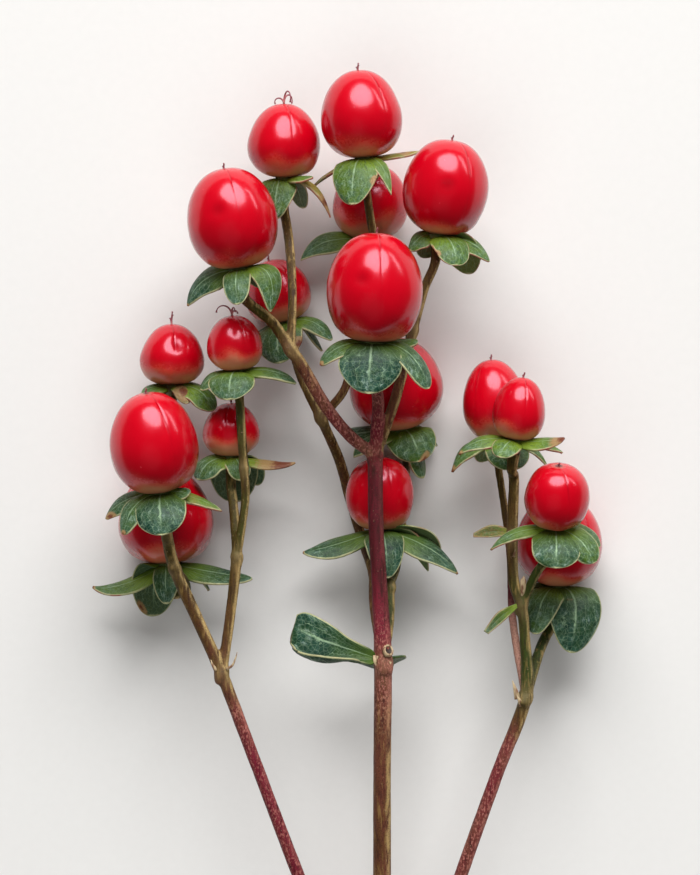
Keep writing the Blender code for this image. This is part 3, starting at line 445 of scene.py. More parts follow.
class FoliageLook(bpy.types.PropertyGroup):
    """Colours and sizes of the sepals and leaves."""
    blue_green: bpy.props.FloatVectorProperty(
        name="Blue-green", description="Colour of the darkest blades", subtype="COLOR", size=3,
        default=(0.002, 0.03, 0.015), min=0, max=1)
    yellow_green: bpy.props.FloatVectorProperty(
        name="Yellow-green", description="Colour of the palest blades", subtype="COLOR", size=3,
        default=(0.12, 0.21, 0.006), min=0, max=1)
    vein: bpy.props.FloatVectorProperty(
        name="Vein", description="Colour of the veins", subtype="COLOR", size=3,
        default=(0.42, 0.6, 0.36), min=0, max=1)
    rim: bpy.props.FloatVectorProperty(
        name="Rim", description="Colour of the pale margin", subtype="COLOR", size=3,
        default=(0.46, 0.46, 0.24), min=0, max=1)
    browned: bpy.props.FloatVectorProperty(
        name="Browned", description="Colour of the dry spots and the outermost rim", subtype="COLOR", size=3,
        default=(0.15, 0.04, 0.018), min=0, max=1)
    thickness: bpy.props.FloatProperty(
        name="Thickness", description="Thickness of a blade at its midrib", unit="LENGTH",
        default=0.00045, min=0.0001, max=0.001)
    rim_width: bpy.props.FloatProperty(
        name="Rim width", description="Width of the pale margin", unit="LENGTH",
        default=0.00015, min=0, max=0.002)


class BarkLook(bpy.types.PropertyGroup):
    """Colours and fineness of the stem."""
    purple: bpy.props.FloatVectorProperty(
        name="Purple-red", description="Bark of the sunlit main stem", subtype="COLOR", size=3,
        default=(0.075, 0.007, 0.011), min=0, max=1)
    crimson: bpy.props.FloatVectorProperty(
        name="Crimson", description="Bark of the left side stem", subtype="COLOR", size=3,
        default=(0.17, 0.012, 0.026), min=0, max=1)
    brown: bpy.props.FloatVectorProperty(
        name="Red-brown", description="Bark of the lower stems", subtype="COLOR", size=3,
        default=(0.15, 0.04, 0.028), min=0, max=1)
    golden: bpy.props.FloatVectorProperty(
        name="Golden brown", description="Bark near the nodes", subtype="COLOR", size=3,
        default=(0.08, 0.04, 0.009), min=0, max=1)
    olive: bpy.props.FloatVectorProperty(
        name="Olive", description="Young green bark", subtype="COLOR", size=3,
        default=(0.03, 0.048, 0.006), min=0, max=1)
    cell: bpy.props.FloatProperty(
        name="Cell size", description="Size of the cells that blend the forks together", unit="LENGTH",
        default=0.00022, min=0.0001, max=0.001)


class StudioLook(bpy.types.PropertyGroup):
    """Floor, lights and camera."""
    floor: bpy.props.FloatVectorProperty(
        name="Floor", description="Colour of the floor", subtype="COLOR", size=3,
        default=(0.72, 0.71, 0.69), min=0, max=1)
    key_power: bpy.props.FloatProperty(
        name="Key light", description="Power of the softbox beyond the berries", unit="POWER",
        default=28.0, min=0)
    fill_power: bpy.props.FloatProperty(
        name="Fill light", description="Power of the soft light from the side", unit="POWER",
        default=2.2, min=0)
    bounce_power: bpy.props.FloatProperty(
        name="Front bounce", description="Power of the matt reflector near the camera", unit="POWER",
        default=3.2, min=0)
    sky: bpy.props.FloatProperty(
        name="Room light", description="Strength of the even light of the room", default=0.06, min=0, max=2)
    camera_height: bpy.props.FloatProperty(
        name="Camera height", description="Height of the camera above the floor", unit="LENGTH",
        default=0.614, min=0.1, max=5)


def looks(context, name):
    """One of the add-on's property groups."""
    return getattr(context.scene, "hypericum_" + name)


class Value:
    """A shader socket that takes part in Python expressions; each operation adds its Math node."""

    def __init__(self, recipe, socket):
        self.recipe = recipe
        self.socket = socket

    def math(self, operation, *operands, clamped=False):
        """Add a Math node over the given operands."""
        settings = {"operation": operation, "use_clamp": clamped}
        return self.recipe.node("ShaderNodeMath", settings, dict(enumerate(operands)))

    def __add__(self, other):
        return self.math("ADD", self, other)

    def __radd__(self, other):
        return self.math("ADD", other, self)

    def __sub__(self, other):
        return self.math("SUBTRACT", self, other)

    def __rsub__(self, other):
        return self.math("SUBTRACT", other, self)

    def __mul__(self, other):
        return self.math("MULTIPLY", self, other)

    def __rmul__(self, other):
        return self.math("MULTIPLY", other, self)

    def __truediv__(self, other):
        return self.math("DIVIDE", self, other)

    def __rtruediv__(self, other):
        return self.math("DIVIDE", other, self)

    def __abs__(self):
        return self.math("ABSOLUTE", self)

    def sine(self):
        """The sine of the value."""
        return self.math("SINE", self)

    def clamp(self):
        """The value held between 0 and 1."""
        return self.math("ADD", self, 0.0, clamped=True)

    def rise(self, low, high):
        """A soft step from 0 at low to 1 at high; it falls instead where low is above high."""
        if low > high:
            return 1 - self.rise(high, low)
        sockets = {"Value": self, "From Min": low, "From Max": high}
        return self.recipe.node("ShaderNodeMapRange", {"interpolation_type": "SMOOTHSTEP"}, sockets)


class Recipe:
    """A material and the nodes behind it."""

    def __init__(self, name):
        self.material = bpy.data.materials.new(name)
        self.material.use_nodes = True
        self.tree = self.material.node_tree
        self.shader = self.tree.nodes["Principled BSDF"]

    def node(self, kind, settings=None, sockets=None, output=0):
        """Add a node: settings first, then values or links for its sockets. Gives one of its outputs."""
        made = self.tree.nodes.new(kind)
        for key, setting in (settings or {}).items():
            if key == "stops":
                self.fill_ramp(made.color_ramp, setting)
            else:
                setattr(made, key, setting)
        for key, given in (sockets or {}).items():
            self.feed(made.inputs[key], given)
        return Value(self, made.outputs[output])

    def fill_ramp(self, ramp, stops):
        """Give a colour ramp its stops, as places with colours."""
        while len(ramp.elements) < len(stops):
            ramp.elements.new(0.5)
        for element, (place, colour) in zip(ramp.elements, stops):
            element.position = place
            element.color = (*colour, 1.0)

    def feed(self, socket, given):
        """Link a value to a socket, or set the socket to a number or a colour."""
        if isinstance(given, Value):
            self.tree.links.new(given.socket, socket)
        elif hasattr(given, "__len__") and len(given) == 3 and len(socket.default_value) == 4:
            socket.default_value = (*given, 1.0)
        else:
            socket.default_value = given

    def painted(self, name):
        """A number painted on the mesh."""
        settings = {"attribute_name": name, "attribute_type": "GEOMETRY"}
        return self.node("ShaderNodeAttribute", settings, output=2)

    def place(self, squeeze=(1, 1, 1)):
        """The place on the piece in millimetres, squeezed along each axis."""
        here = self.node("ShaderNodeTexCoord", output=3)
        sized = {0: here, 1: [share / MM for share in squeeze]}
        return self.node("ShaderNodeVectorMath", {"operation": "MULTIPLY"}, sized)

    def noise(self, where, scale=1.0, detail=3.0, roughness=0.5):
        """Soft noise between 0 and 1."""
        sockets = {"Vector": where, "Scale": scale, "Detail": detail, "Roughness": roughness}
        return self.node("ShaderNodeTexNoise", None, sockets)

    def cells(self, where, scale=1.0):
        """Distance to the nearest edge of a net of irregular cells."""
        sockets = {"Vector": where, "Scale": scale}
        return self.node("ShaderNodeTexVoronoi", {"feature": "DISTANCE_TO_EDGE"}, sockets)

    def mix(self, first, second, factor):
        """A blend of two colours."""
        settings = {"data_type": "RGBA"}
        return self.node("ShaderNodeMix", settings, {0: factor, 6: first, 7: second}, output=2)

    def bump(self, height, strength, depth):
        """A normal from a height; depth is in metres."""
        sockets = {"Height": height, "Strength": strength, "Distance": depth}
        return self.node("ShaderNodeBump", None, sockets)

    def finish(self, **sockets):
        """Set the shader's own sockets and hand over the material."""
        for name, given in sockets.items():
            self.feed(self.shader.inputs[name.replace("_", " ")], given)
        return self.material


def berry_skin(look):
    """Taut red skin with deeper patches, a pale unripe base, a dry tip, faint specks and painted shade."""
    recipe = Recipe("berry skin")
    climb = recipe.painted("climb")
    unripe = recipe.painted("unripe")
    groove = recipe.painted("groove")
    patches = recipe.noise(recipe.place(), 0.22, 3.0)
    fine = recipe.noise(recipe.place(), 2.6, 4.0)
    # Painted shade: the skin darkens toward the base by climb; the noise adds deeper patches of real tone.
    skin = recipe.mix(look.deep, look.ripe, (climb.rise(-1.0, 0.3) * 0.8 + patches * 0.4).clamp())
    # Painted shade in the fine suture lines and in the dimples.
    skin = recipe.mix(skin, look.deep, (groove * 0.45).clamp())
    paleness = (unripe + (fine - 0.5) * 0.3 * unripe.rise(0.0, 0.3)).clamp()
    skin = recipe.mix(skin, BERRY_BLUSH, paleness.rise(0.0, 0.55) * 0.8)
    skin = recipe.mix(skin, look.unripe, paleness.rise(0.3, 1.0))
    # Dry remains of the petals and painted shade where the berry sits in its cup.
    foot = climb.rise(-0.93, -0.99)
    skin = recipe.mix(skin, BERRY_FOOT_REMAINS_AND_SHADE, foot * 0.8)
    tip = climb.rise(0.985, 0.997)
    skin = recipe.mix(skin, BERRY_TIP, tip * (0.2 + fine * 0.9).clamp())
    skin = recipe.mix(skin, BERRY_NAVEL, climb.rise(0.9965, 0.9995))
    speck = recipe.cells(recipe.place(), 0.9).rise(0.46, 0.56)
    skin = recipe.mix(skin, BERRY_SPECK, speck * 0.3)
    normal = recipe.bump(fine * 0.5 + patches, 0.3, 0.00005)
    rough = look.roughness + paleness * 0.12 + tip * 0.2 + (fine - 0.5) * 0.08
    return recipe.finish(
        Base_Color=skin, Roughness=rough, Normal=normal, Coat_Weight=0.4, Coat_Roughness=0.14,
        Specular_IOR_Level=0.5, Specular_Tint=BERRY_GLOSS)


def style_skin(look):
    """Dry styles, pale pink at the foot and darker above."""
    recipe = Recipe("dry style")
    reach = recipe.painted("climb")
    colour = recipe.mix(STYLE_FOOT, look.style, reach.rise(0.0, 0.5))
    return recipe.finish(Base_Color=colour, Roughness=0.5)


def blade_skin(look):
    """A leathery green blade: fanned veins, a painted sheen, a pale margin and browned spots."""
    recipe = Recipe("sepal and leaf")
    along = recipe.painted("along")
    across = recipe.painted("across")
    edge = recipe.painted("edge")
    upper = recipe.painted("upper")
    tone = recipe.painted("tone")
    browned = recipe.painted("browned")
    where = recipe.place()
    broad = recipe.noise(where, 0.55, 3.0)
    fine = recipe.noise(where, 3.2, 4.0)
    quilt = recipe.noise(where, 1.1, 2.0)
    wander = (broad - 0.5) * 0.5 + (fine - 0.5) * 0.18
    fan = across / (along + 0.1) * 0.62 + wander
    ripple = (fan * (2 * math.pi * 1.55)).sine()
    laterals = (1 - abs(ripple)).rise(0.78, 1.0) * along.rise(0.08, 0.25) * along.rise(0.97, 0.75)
    midrib = (abs(across + wander * 0.12)).rise(0.06, 0.015) * along.rise(0.95, 0.6)
    net = recipe.cells(where, 1.7).rise(0.08, 0.02) * along.rise(0.2, 0.5)
    vein = (midrib * 0.8 + laterals * 0.6 + net * 0.24).clamp()
    blade = recipe.mix(look.blue_green, look.yellow_green, (tone + (broad - 0.5) * 0.7).clamp())
    blade = recipe.mix(blade, BLADE_FOOT, along.rise(0.65, 0.1) * (0.25 + tone * 0.9).clamp())
    spread = recipe.node("ShaderNodeCombineXYZ", None, {"X": fan * 7.0, "Y": along * 4.0, "Z": tone * 40.0})
    fibre = recipe.noise(spread, 1.5, 4.0, 0.6)
    blade = recipe.mix(blade, BLADE_FIBRE, fibre.rise(0.52, 0.34) * 0.6)
    # Painted sheen toward the tips: a teal cast with whitish glints, and brighter veins there.
    painted_sheen = quilt.rise(0.3, 0.7) * along.rise(0.25, 0.85) * (1 - tone * 0.4)
    blade = recipe.mix(blade, PAINTED_SHEEN_TEAL, painted_sheen * 0.75)
    blade = recipe.mix(blade, PAINTED_SHEEN_WHITE, fibre.rise(0.52, 0.7) * painted_sheen * (0.3 + fine * 0.5))
    blade = recipe.mix(blade, look.vein, vein * (0.4 + painted_sheen * 0.45))
    golden = (tone + (broad - 0.5) * 0.3).rise(0.86, 1.04)
    blade = recipe.mix(blade, BLADE_GOLDEN, golden * 0.85)
    under = recipe.mix(UNDER_DARK, UNDER_PALE, (tone + (fine - 0.5)).clamp())
    under = recipe.mix(under, look.vein, vein * 0.5)
    blade = recipe.mix(under, blade, upper.rise(-0.2, 0.2))
    width = look.rim_width / MM
    rim = (edge + (fine - 0.5) * 0.14).rise(width * 1.4, width * 0.6)
    blade = recipe.mix(blade, look.rim, rim * (0.5 + quilt * 0.5) * along.rise(0.18, 0.4))
    outermost = edge.rise(width * 0.6, width * 0.15) * broad.rise(0.4, 0.56) * along.rise(0.2, 0.4)
    blade = recipe.mix(blade, RIM_RED, outermost * (0.12 + tone.rise(0.3, 0.65) * 0.7))
    dry = (browned + (fine - 0.5) * 0.5 * browned.rise(0.0, 0.3)).clamp()
    blade = recipe.mix(blade, DRY_TAN, dry.rise(0.12, 0.4) * 0.9)
    blade = recipe.mix(blade, look.browned, dry.rise(0.6, 0.95))
    normal = recipe.bump(vein * -0.7 + fine * 0.4 + quilt, 0.8, 0.00015)
    rough = 0.4 + fine * 0.16 + (1 - upper.rise(-0.2, 0.2)) * 0.12
    return recipe.finish(Base_Color=blade, Roughness=rough, Normal=normal, Specular_IOR_Level=0.3)


def bark_skin(look):
    """Young bark: long pale ribs with a painted highlight, fine streaks, pale lenticels and a pale cut end.
    """
    recipe = Recipe("young bark")
    tone = recipe.painted("tone")
    rib = recipe.painted("rib")
    node = recipe.painted("node")
    cut = recipe.painted("cut")
    where = recipe.place((1, 0.12, 1))
    streak = recipe.noise(where, 1.9, 4.0, 0.6)
    broad = recipe.noise(recipe.place((1, 0.4, 1)), 0.45, 3.0)
    fine = recipe.noise(recipe.place(), 5.5, 3.0)
    shade = (tone + (broad - 0.5) * 0.45 + (streak - 0.5) * 0.3).clamp()
    stops = [(0.0, look.purple), (0.2, look.crimson), (0.38, look.brown), (0.65, look.golden),
             (1.0, look.olive)]
    bark = recipe.node("ShaderNodeValToRGB", {"stops": stops}, {"Fac": shade})
    strength = 0.15 + tone.rise(0.08, 0.6) * 0.85 - tone.rise(0.8, 1.0) * 0.4
    # Pale ribs, partly real colour and partly a painted highlight on one side of each stem.
    ridge_and_highlight = rib.rise(0.35, 0.9) * streak.rise(0.3, 0.6) * strength
    ridge_tint = recipe.mix(RIDGE_PINK, RIDGE_GOLDEN, tone.rise(0.34, 0.5))
    bark = recipe.mix(bark, ridge_tint, ridge_and_highlight * 0.9)
    bark = recipe.mix(bark, BARK_CRACK, streak.rise(0.48, 0.3) * 0.6)
    bark = recipe.mix(bark, BARK_PINK, tone.rise(-0.1, -0.5) * (0.5 + streak * 0.5))
    bark = recipe.mix(bark, BARK_GRAIN, fine.rise(0.5, 0.36) * 0.55)
    fleck = recipe.noise(recipe.place((1, 0.45, 1)), 4.2, 3.0, 0.6)
    flecked = tone.rise(0.05, 0.25) * tone.rise(0.48, 0.36)
    bark = recipe.mix(bark, ridge_tint, fleck.rise(0.5, 0.62) * flecked * 0.7)
    bark = recipe.mix(bark, BARK_MOTTLE, streak.rise(0.53, 0.68) * tone.rise(0.34, 0.46) * 0.4)
    speck = recipe.cells(recipe.place((1, 0.5, 1)), 2.4).rise(0.36, 0.46)
    bark = recipe.mix(bark, LENTICEL, speck * fine.rise(0.4, 0.6) * 0.4)
    bark = recipe.mix(bark, NODE_GOLDEN, node * (0.2 + streak * 0.4) * tone.rise(0.0, 0.3))
    bark = recipe.mix(bark, recipe.mix(PITH_CREAM, PITH_BROWN, fine), cut)
    normal = recipe.bump(streak + fine * 0.35 + speck * 0.6, 0.7, 0.00018)
    return recipe.finish(Base_Color=bark, Roughness=0.5 + streak * 0.2, Normal=normal, Specular_IOR_Level=0.2)


def scrap_skin():
    """Dry, cream and brown scales, and the scar where a leaf broke off."""
    recipe = Recipe("dry scale")
    where = recipe.place((1, 0.4, 1))
    streak = recipe.noise(where, 3.0, 4.0)
    hollow = recipe.painted("hollow")
    colour = recipe.mix(SCALE_CREAM, SCALE_BROWN, streak.rise(0.4, 0.7))
    colour = recipe.mix(colour, SCAR_HOLE, hollow)
    return recipe.finish(Base_Color=colour, Roughness=0.6, Normal=recipe.bump(streak, 0.5, 0.0001))


def soft_step(low, high, value):
    """0 below low, 1 above high, and a soft step between them."""
    share = min(1.0, max(0.0, (value - low) / (high - low)))
    return share * share * (3 - 2 * share)


def bell(distance, width):
    """1 at no distance, and soon nothing beyond the width."""
    return math.exp(-(distance / width) ** 2)


def berry_axis(lean, rise):
    """Direction from a berry's base to its tip."""
    flat = math.cos(math.radians(rise))
    side = math.radians(lean)
    return Vector((math.sin(side) * flat, math.cos(side) * flat, math.sin(math.radians(rise))))


def berry_base(name):
    """The point where a berry meets its cup, and the berry's axis."""
    centre, _, length, lean, rise = BERRIES[name][:5]
    axis = berry_axis(lean, rise)
    return Vector(centre) - axis * length / 2, axis


def across_frame(axis):
    """Two directions at right angles to an axis, the second one as near to +Z as it can be."""
    side = axis.cross(UP).normalized()
    return side, side.cross(axis).normalized()


class Skin:
    """Points, faces and painted numbers of a piece, added as closed stacks of rings."""

    def __init__(self):
        self.points = []
        self.faces = []
        self.kinds = []
        self.paint = {}

    def stack(self, rings, paint, kind=0, poles=(None, None)):
        """Skin a stack of rings and close both ends. paint maps a name to one number for each point."""
        start = len(self.points)
        count = len(rings[0])
        for ring in rings:
            self.points.extend(ring)
        for row in range(len(rings) - 1):
            low = start + row * count
            for i in range(count):
                j = (i + 1) % count
                self.face((low + i, low + j, low + count + j, low + count + i), kind)
        numbers = {name: list(given) for name, given in paint.items()}
        for first, pole in ((0, poles[0]), (len(rings) - 1, poles[1])):
            ring = rings[first]
            middle = pole if pole is not None else sum(ring, Vector()) / count
            centre = len(self.points)
            self.points.append(middle)
            for given in numbers.values():
                given.append(sum(given[first * count:(first + 1) * count]) / count)
            for i in range(count):
                self.face((start + first * count + i, start + first * count + (i + 1) % count, centre), kind)
        for name in set(self.paint) | set(numbers):
            known = self.paint.setdefault(name, [])
            known.extend([0.0] * (start - len(known)))
            known.extend(numbers.get(name, [0.0] * (len(self.points) - start)))

    def face(self, corners, kind):
        """Add one face with its material's number."""
        self.faces.append(corners)
        self.kinds.append(kind)

    def mesh(self, name, materials):
        """A mesh in metres, facing out and shaded smooth."""
        data = bpy.data.meshes.new(name)
        data.from_pydata([point * MM for point in self.points], [], self.faces)
        data.polygons.foreach_set("material_index", self.kinds)
        for key, numbers in self.paint.items():
            numbers.extend([0.0] * (len(self.points) - len(numbers)))
            data.attributes.new(key, "FLOAT", "POINT").data.foreach_set("value", numbers)
        for material in materials:
            data.materials.append(material)
        face_outward(data)
        data.shade_smooth()
        return data


def face_outward(data):
    """Turn the faces of closed bodies to the outside."""
    shape = bmesh.new()
    shape.from_mesh(data)
    bmesh.ops.recalc_face_normals(shape, faces=shape.faces)
    shape.to_mesh(data)
    shape.free()


def add_piece(name, data, replaced=None):
    """Put a mesh in the scene as a piece that rides on the stem, and hide the part it replaces."""
    piece = bpy.data.objects.new(name, data)
    bpy.context.scene.collection.objects.link(piece)
    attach(piece, "root")
    if replaced:
        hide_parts(replaced)
    return piece


def between(points, i, t):
    """The point a share t of the way from point i to the next, on a smooth curve through them all."""
    p1, p2 = points[i], points[i + 1]
    p0 = points[i - 1] if i else p1 * 2 - p2
    p3 = points[i + 2] if i + 2 < len(points) else p2 * 2 - p1
    return 0.5 * (2 * p1 + (p2 - p0) * t + (2 * p0 - 5 * p1 + 4 * p2 - p3) * t ** 2
                  + (3 * p1 - p0 - 3 * p2 + p3) * t ** 3)


def spline(points, step):
    """Points about one step apart on a smooth curve through the given ones, radius included."""
    points = [Vector(point) for point in points]
    smooth = [points[0]]
    for i in range(len(points) - 1):
        pieces = max(1, round((points[i + 1].xyz - points[i].xyz).length / step))
        smooth.extend(between(points, i, k / pieces) for k in range(1, pieces + 1))
    return smooth


def resample(points, count):
    """A given number of points on a smooth curve through the given ones, evenly spaced by number."""
    last = len(points) - 1
    curve = []
    for k in range(count):
        place = last * k / (count - 1)
        i = min(int(place), last - 1)
        curve.append(between(points, i, place - i))
    return curve


def frames(path):
    """The heading and two sideways directions at each point of a path, without twist."""
    side = None
    made = []
    for i in range(len(path)):
        ahead = (path[min(i + 1, len(path) - 1)].xyz - path[max(i - 1, 0)].xyz).normalized()
        if side is None:
            side = ahead.cross(UP).normalized() if abs(ahead.z) < 0.9 else ahead.orthogonal().normalized()
        side = (side - ahead * side.dot(ahead)).normalized()
        made.append((ahead, side, side.cross(ahead)))
    return made


def tube(skin, path, paint, kind=0, flat=1.0, sides=TUBE_SIDES):
    """Add a tube along a path whose fourth number is the radius; flat squeezes it from above."""
    rings = []
    for point, (_, side, up) in zip(path, frames(path)):
        turns = [2 * math.pi * k / sides for k in range(sides)]
        outward = [side * math.cos(turn) + up * math.sin(turn) * flat for turn in turns]
        rings.append([point.xyz + out * point.w for out in outward])
    numbers = {name: [number for number in given for _ in range(sides)] for name, given in paint.items()}
    skin.stack(rings, numbers, kind)


def berry_radius(name, turn, climb):
    """Distance from a berry's axis to its skin, and the depth of the fine groove there."""
    width, egg = BERRIES[name][1], BERRIES[name][5]
    around = math.sqrt(max(0.0, 1 - climb * climb)) ** SQUARER.get(name, BERRY_FULLNESS)
    depth = SUTURE_DEPTH * max(0.0, 0.4 + 0.6 * climb)
    furrow = max(0.0, math.cos(SUTURES * turn)) ** SUTURE_SHARPNESS * depth * FURROW_SHARE
    beside = abs(math.remainder(turn, 2 * math.pi / SUTURES))
    clearer = 0.15 + 0.85 * soft_step(-0.1, 0.7, climb)
    line = bell(beside, LINE_WIDTH) * clearer * soft_step(-1.0, -0.6, climb)
    shoulder = bell(beside - 0.15, 0.09) * soft_step(0.0, 0.8, climb) * SHOULDER_HEIGHT
    lobes = math.cos(BASE_LOBES * turn + BASE_LOBE_TURN) * BASE_LOBE_DEPTH * soft_step(0.45, 0.95, -climb)
    return width / 2 * around * (1 - egg * climb) * (1 - furrow + shoulder + lobes), line


def dimple(name, angle, climb):
    """How deep in a berry's dimple a place is, from 0 outside it to 1 in the middle."""
    if name not in DIMPLES:
        return 0.0
    around, place = DIMPLES[name]
    across = math.remainder(angle - math.radians(around), 2 * math.pi) * BERRIES[name][1] / 2
    return bell(math.hypot(across, (climb - place) * BERRIES[name][2] / 2), DIMPLE_WIDTH)


def add_berry(name, order, look):
    """A berry with its three grooves, its lobed foot and its dry styles."""
    centre, width, length, lean, rise, _, roll, pale = BERRIES[name]
    axis = berry_axis(lean, rise)
    side, up = across_frame(axis)
    middle = Vector(centre)
    skin = Skin()
    rings = []
    paint = {"climb": [], "unripe": [], "groove": []}
    seed = Vector((order * 3.7, order * 1.3, 0))
    fade = -0.95 + 0.8 * pale
    for row in range(1, BERRY_RINGS):
        climb = -math.cos(math.pi * row / BERRY_RINGS)
        ring = []
        for k in range(BERRY_SIDES):
            even = 2 * math.pi * k / BERRY_SIDES
            turn = even - SUTURE_CROWDING / SUTURES * math.sin(SUTURES * even)
            radius, line = berry_radius(name, turn, climb)
            angle = turn + math.radians(roll)
            out = up * math.cos(angle) + side * math.sin(angle)
            ball = out * math.sqrt(max(0.0, 1 - climb * climb)) + axis * climb
            swell = noise.noise(ball * 1.3 + seed) * SKIN_SWELL + noise.noise(ball * 4 + seed) * SKIN_RIPPLE
            pucker = bell(climb - 1, 0.05) * TIP_PUCKER * math.cos(turn * TIP_FOLDS)
            pucker += bell(climb + 1, 0.25) * FOOT_PUCKER * math.cos(SUTURES * (turn + 1))
            radius = radius * (1 + swell + pucker) - line * look.groove / MM
            dent = dimple(name, angle, climb)
            point = middle + axis * climb * length / 2 + out * (radius - dent * look.dimple / MM)
            point.z = max(point.z, 0.0)
            ring.append(point)
            wave = noise.noise(ball * 1.7 + seed * 2) * 0.26 + 0.07 * math.cos(SUTURES * turn)
            paint["climb"].append(climb)
            paint["unripe"].append(1 - soft_step(fade - 0.42, fade + 0.34, climb + wave))
            # The groove number carries the painted shade of the suture lines and the dimples.
            paint["groove"].append(line + dent)
        rings.append(ring)
    tip = middle + axis * length / 2
    skin.stack(rings, paint, 0, (middle - axis * length / 2, tip))
    long, curl, heading = STYLES.get(name, STYLES_SHORT)
    for k in range(SUTURES):
        angle = heading + 2 * math.pi * k / SUTURES
        add_style(skin, tip, axis, up * math.cos(angle) + side * math.sin(angle), long * (1 - 0.25 * k), curl)
    return skin


def add_style(skin, tip, axis, out, long, curl):
    """One thin style that rises from the tip and curls outward, with a small knob at its end."""
    place = tip - axis * STYLE_SUNK
    path = []
    for i in range(STYLE_STEPS + 1):
        share = i / STYLE_STEPS
        bend = curl * share ** 1.4
        place = place + (axis * math.cos(bend) + out * math.sin(bend)) * (long + STYLE_SUNK) / STYLE_STEPS
        knob = 0.07 * bell(share - 0.97, 0.05)
        path.append(Vector((*place, STYLE_RADIUS * (1 - 0.55 * share) + knob)))
    tube(skin, path, {"climb": [i / STYLE_STEPS for i in range(STYLE_STEPS + 1)]}, kind=1,
         sides=STYLE_SIDES)


def blade_ring(upper, lower, paint):
    """One ring of a blade: its upper side, then its lower side backward, with the numbers painted there."""
    ring = []
    for facing, line in ((1.0, upper), (-1.0, lower[::-1])):
        for place, numbers in line:
            place.z = max(place.z, 0.0)
            ring.append(place)
            for key, number in zip(BLADE_PAINT, (*numbers, facing)):
                paint[key].append(number)
    return ring


def sepal_outline(along, pointed):
    """Width of a sepal against its widest; pointed ones narrow sooner toward the tip."""
    reach = 0.08 + 0.92 * along
    blunt = (1 - abs(2 * reach - 1) ** 3.0) ** 0.5 if reach < 1 else 0.0
    sharp = max(0.0, math.sin(math.pi * reach ** 0.85)) ** 0.8
    return blunt + (sharp - blunt) * pointed


def add_sepal(skin, calyx, order, root, axis, look):
    """One sepal from its root in the cup, out and over to its tip."""
    tip, width, tone = SEPALS[calyx][order]
    tip = Vector(tip)
    reach = tip - root
    droop = axis * reach.dot(axis)
    outward = (reach - droop).normalized()
    length = reach.length
    control = root + outward * ((reach - droop).length * 0.55 + length * 0.14) + axis * length * 0.06
    control += Vector(SEPAL_BOWS.get((calyx, order), (0, 0, 0)))
    turn = SEPAL_TURNS.get((calyx, order), SEPAL_TURN * min(1.0, 1.0 + outward.z))
    level = (axis.cross(outward) + UP.cross(reach.normalized()) * turn).normalized()
    pointed = SEPAL_POINTS.get((calyx, order), soft_step(1.7, 2.7, length / width))
    seed = Vector((tip.x, tip.y, order))
    phase = noise.noise(seed) * 6
    spots = [(share, place, size) for name, number, share, place, size in BROWNED
             if (name, number) == (calyx, order)]
    rings = []
    paint = {key: [] for key in BLADE_PAINT}
    for row in range(SEPAL_ROWS):
        along = math.sin(math.pi / 2 * row / (SEPAL_ROWS - 1)) ** 0.85
        point = root * (1 - along) ** 2 + control * 2 * along * (1 - along) + tip * along ** 2
        heading = ((control - root) * (1 - along) + (tip - control) * along).normalized()
        across = (level - heading * level.dot(heading)).normalized()
        above = heading.cross(across)
        waver = 1 + MARGIN_WAVER * noise.noise(seed + Vector((0, along * 3, 7))) * along
        half = max(0.06, width / 2 * sepal_outline(along, pointed) * waver)
        upper, lower = [], []
        for column in range(SEPAL_COLUMNS):
            share = math.sin(math.pi * (column / (SEPAL_COLUMNS - 1) - 0.5))
            ripple = math.sin(along * 7 + phase + share * 1.5) * abs(share) ** 3 * SEPAL_RIPPLE * half * along
            groove = bell(share, 0.12) * MIDRIB_GROOVE * (1 - along)
            swell = noise.noise(seed + Vector((along * 2.2, share * 1.6, 0))) * SEPAL_SWELL * along
            place = point + across * half * share
            place += above * (ripple + swell - half * SEPAL_HOLLOW * share ** 2)
            thick = look.thickness / MM / 2 * (1 - 0.55 * share ** 4) * (1 - 0.4 * along ** 3)
            edge = min(half * (1 - abs(share)), length * (1 - along))
            brown = min(1.0, sum(bell(math.hypot((along - a) * length, (share - b) * half), size)
                                 for a, b, size in spots))
            numbers = (along, share, edge, tone, brown)
            upper.append((place + above * (thick - groove), numbers))
            lower.append((place - above * (thick + groove), numbers))
        rings.append(blade_ring(upper, lower, paint))
    skin.stack(rings, paint)


def add_calyx(name, look):
    """The cup below a berry with its five sepals."""
    base, axis = berry_base(name)
    radius = BERRIES[name][1] * CUP_TO_BERRY
    top = base - axis * GAP
    skin = Skin()
    low = top - axis * CUP_HEIGHT
    path = [Vector((*low, radius * CUP_FOOT)), Vector((*(low + axis * 0.5), radius * 0.86)),
            Vector((*(top - axis * 0.2), radius)), Vector((*(top + axis * 0.35), radius * 0.92))]
    paint = {key: [number] * len(path) for key, number in zip(BLADE_PAINT, CUP_PAINT)}
    tube(skin, path, paint, sides=CUP_SIDES)
    for order in range(len(SEPALS[name])):
        outward = Vector(SEPALS[name][order][0]) - top
        outward = (outward - axis * outward.dot(axis)).normalized()
        root = top + axis * 0.05 + outward * radius * 0.3
        add_sepal(skin, name, order, root, axis, look)
    return skin


def stem_paths():
    """The fine path of each length of stem, with its tone at each point."""
    paths = []
    for points, berry_name, tones in STEMS:
        points = [tuple(point) for point in points]
        if berry_name:
            base, axis = berry_base(berry_name)
            radius = points[-1][3]
            end = base - axis * (CUP_HEIGHT + 2 * GAP)
            points.append((*(end - axis * STALK_LEAD), radius))
            points.append((*end, radius * STALK_FLARE))
            points.append((*(end + axis * (GAP + 0.25)), radius * STALK_FLARE))
        path = spline(points, TUBE_STEP)
        colours = resample([Vector((tone, 0, 0)) for tone in tones], len(path))
        paths.append((path, [colour.x for colour in colours]))
    return paths


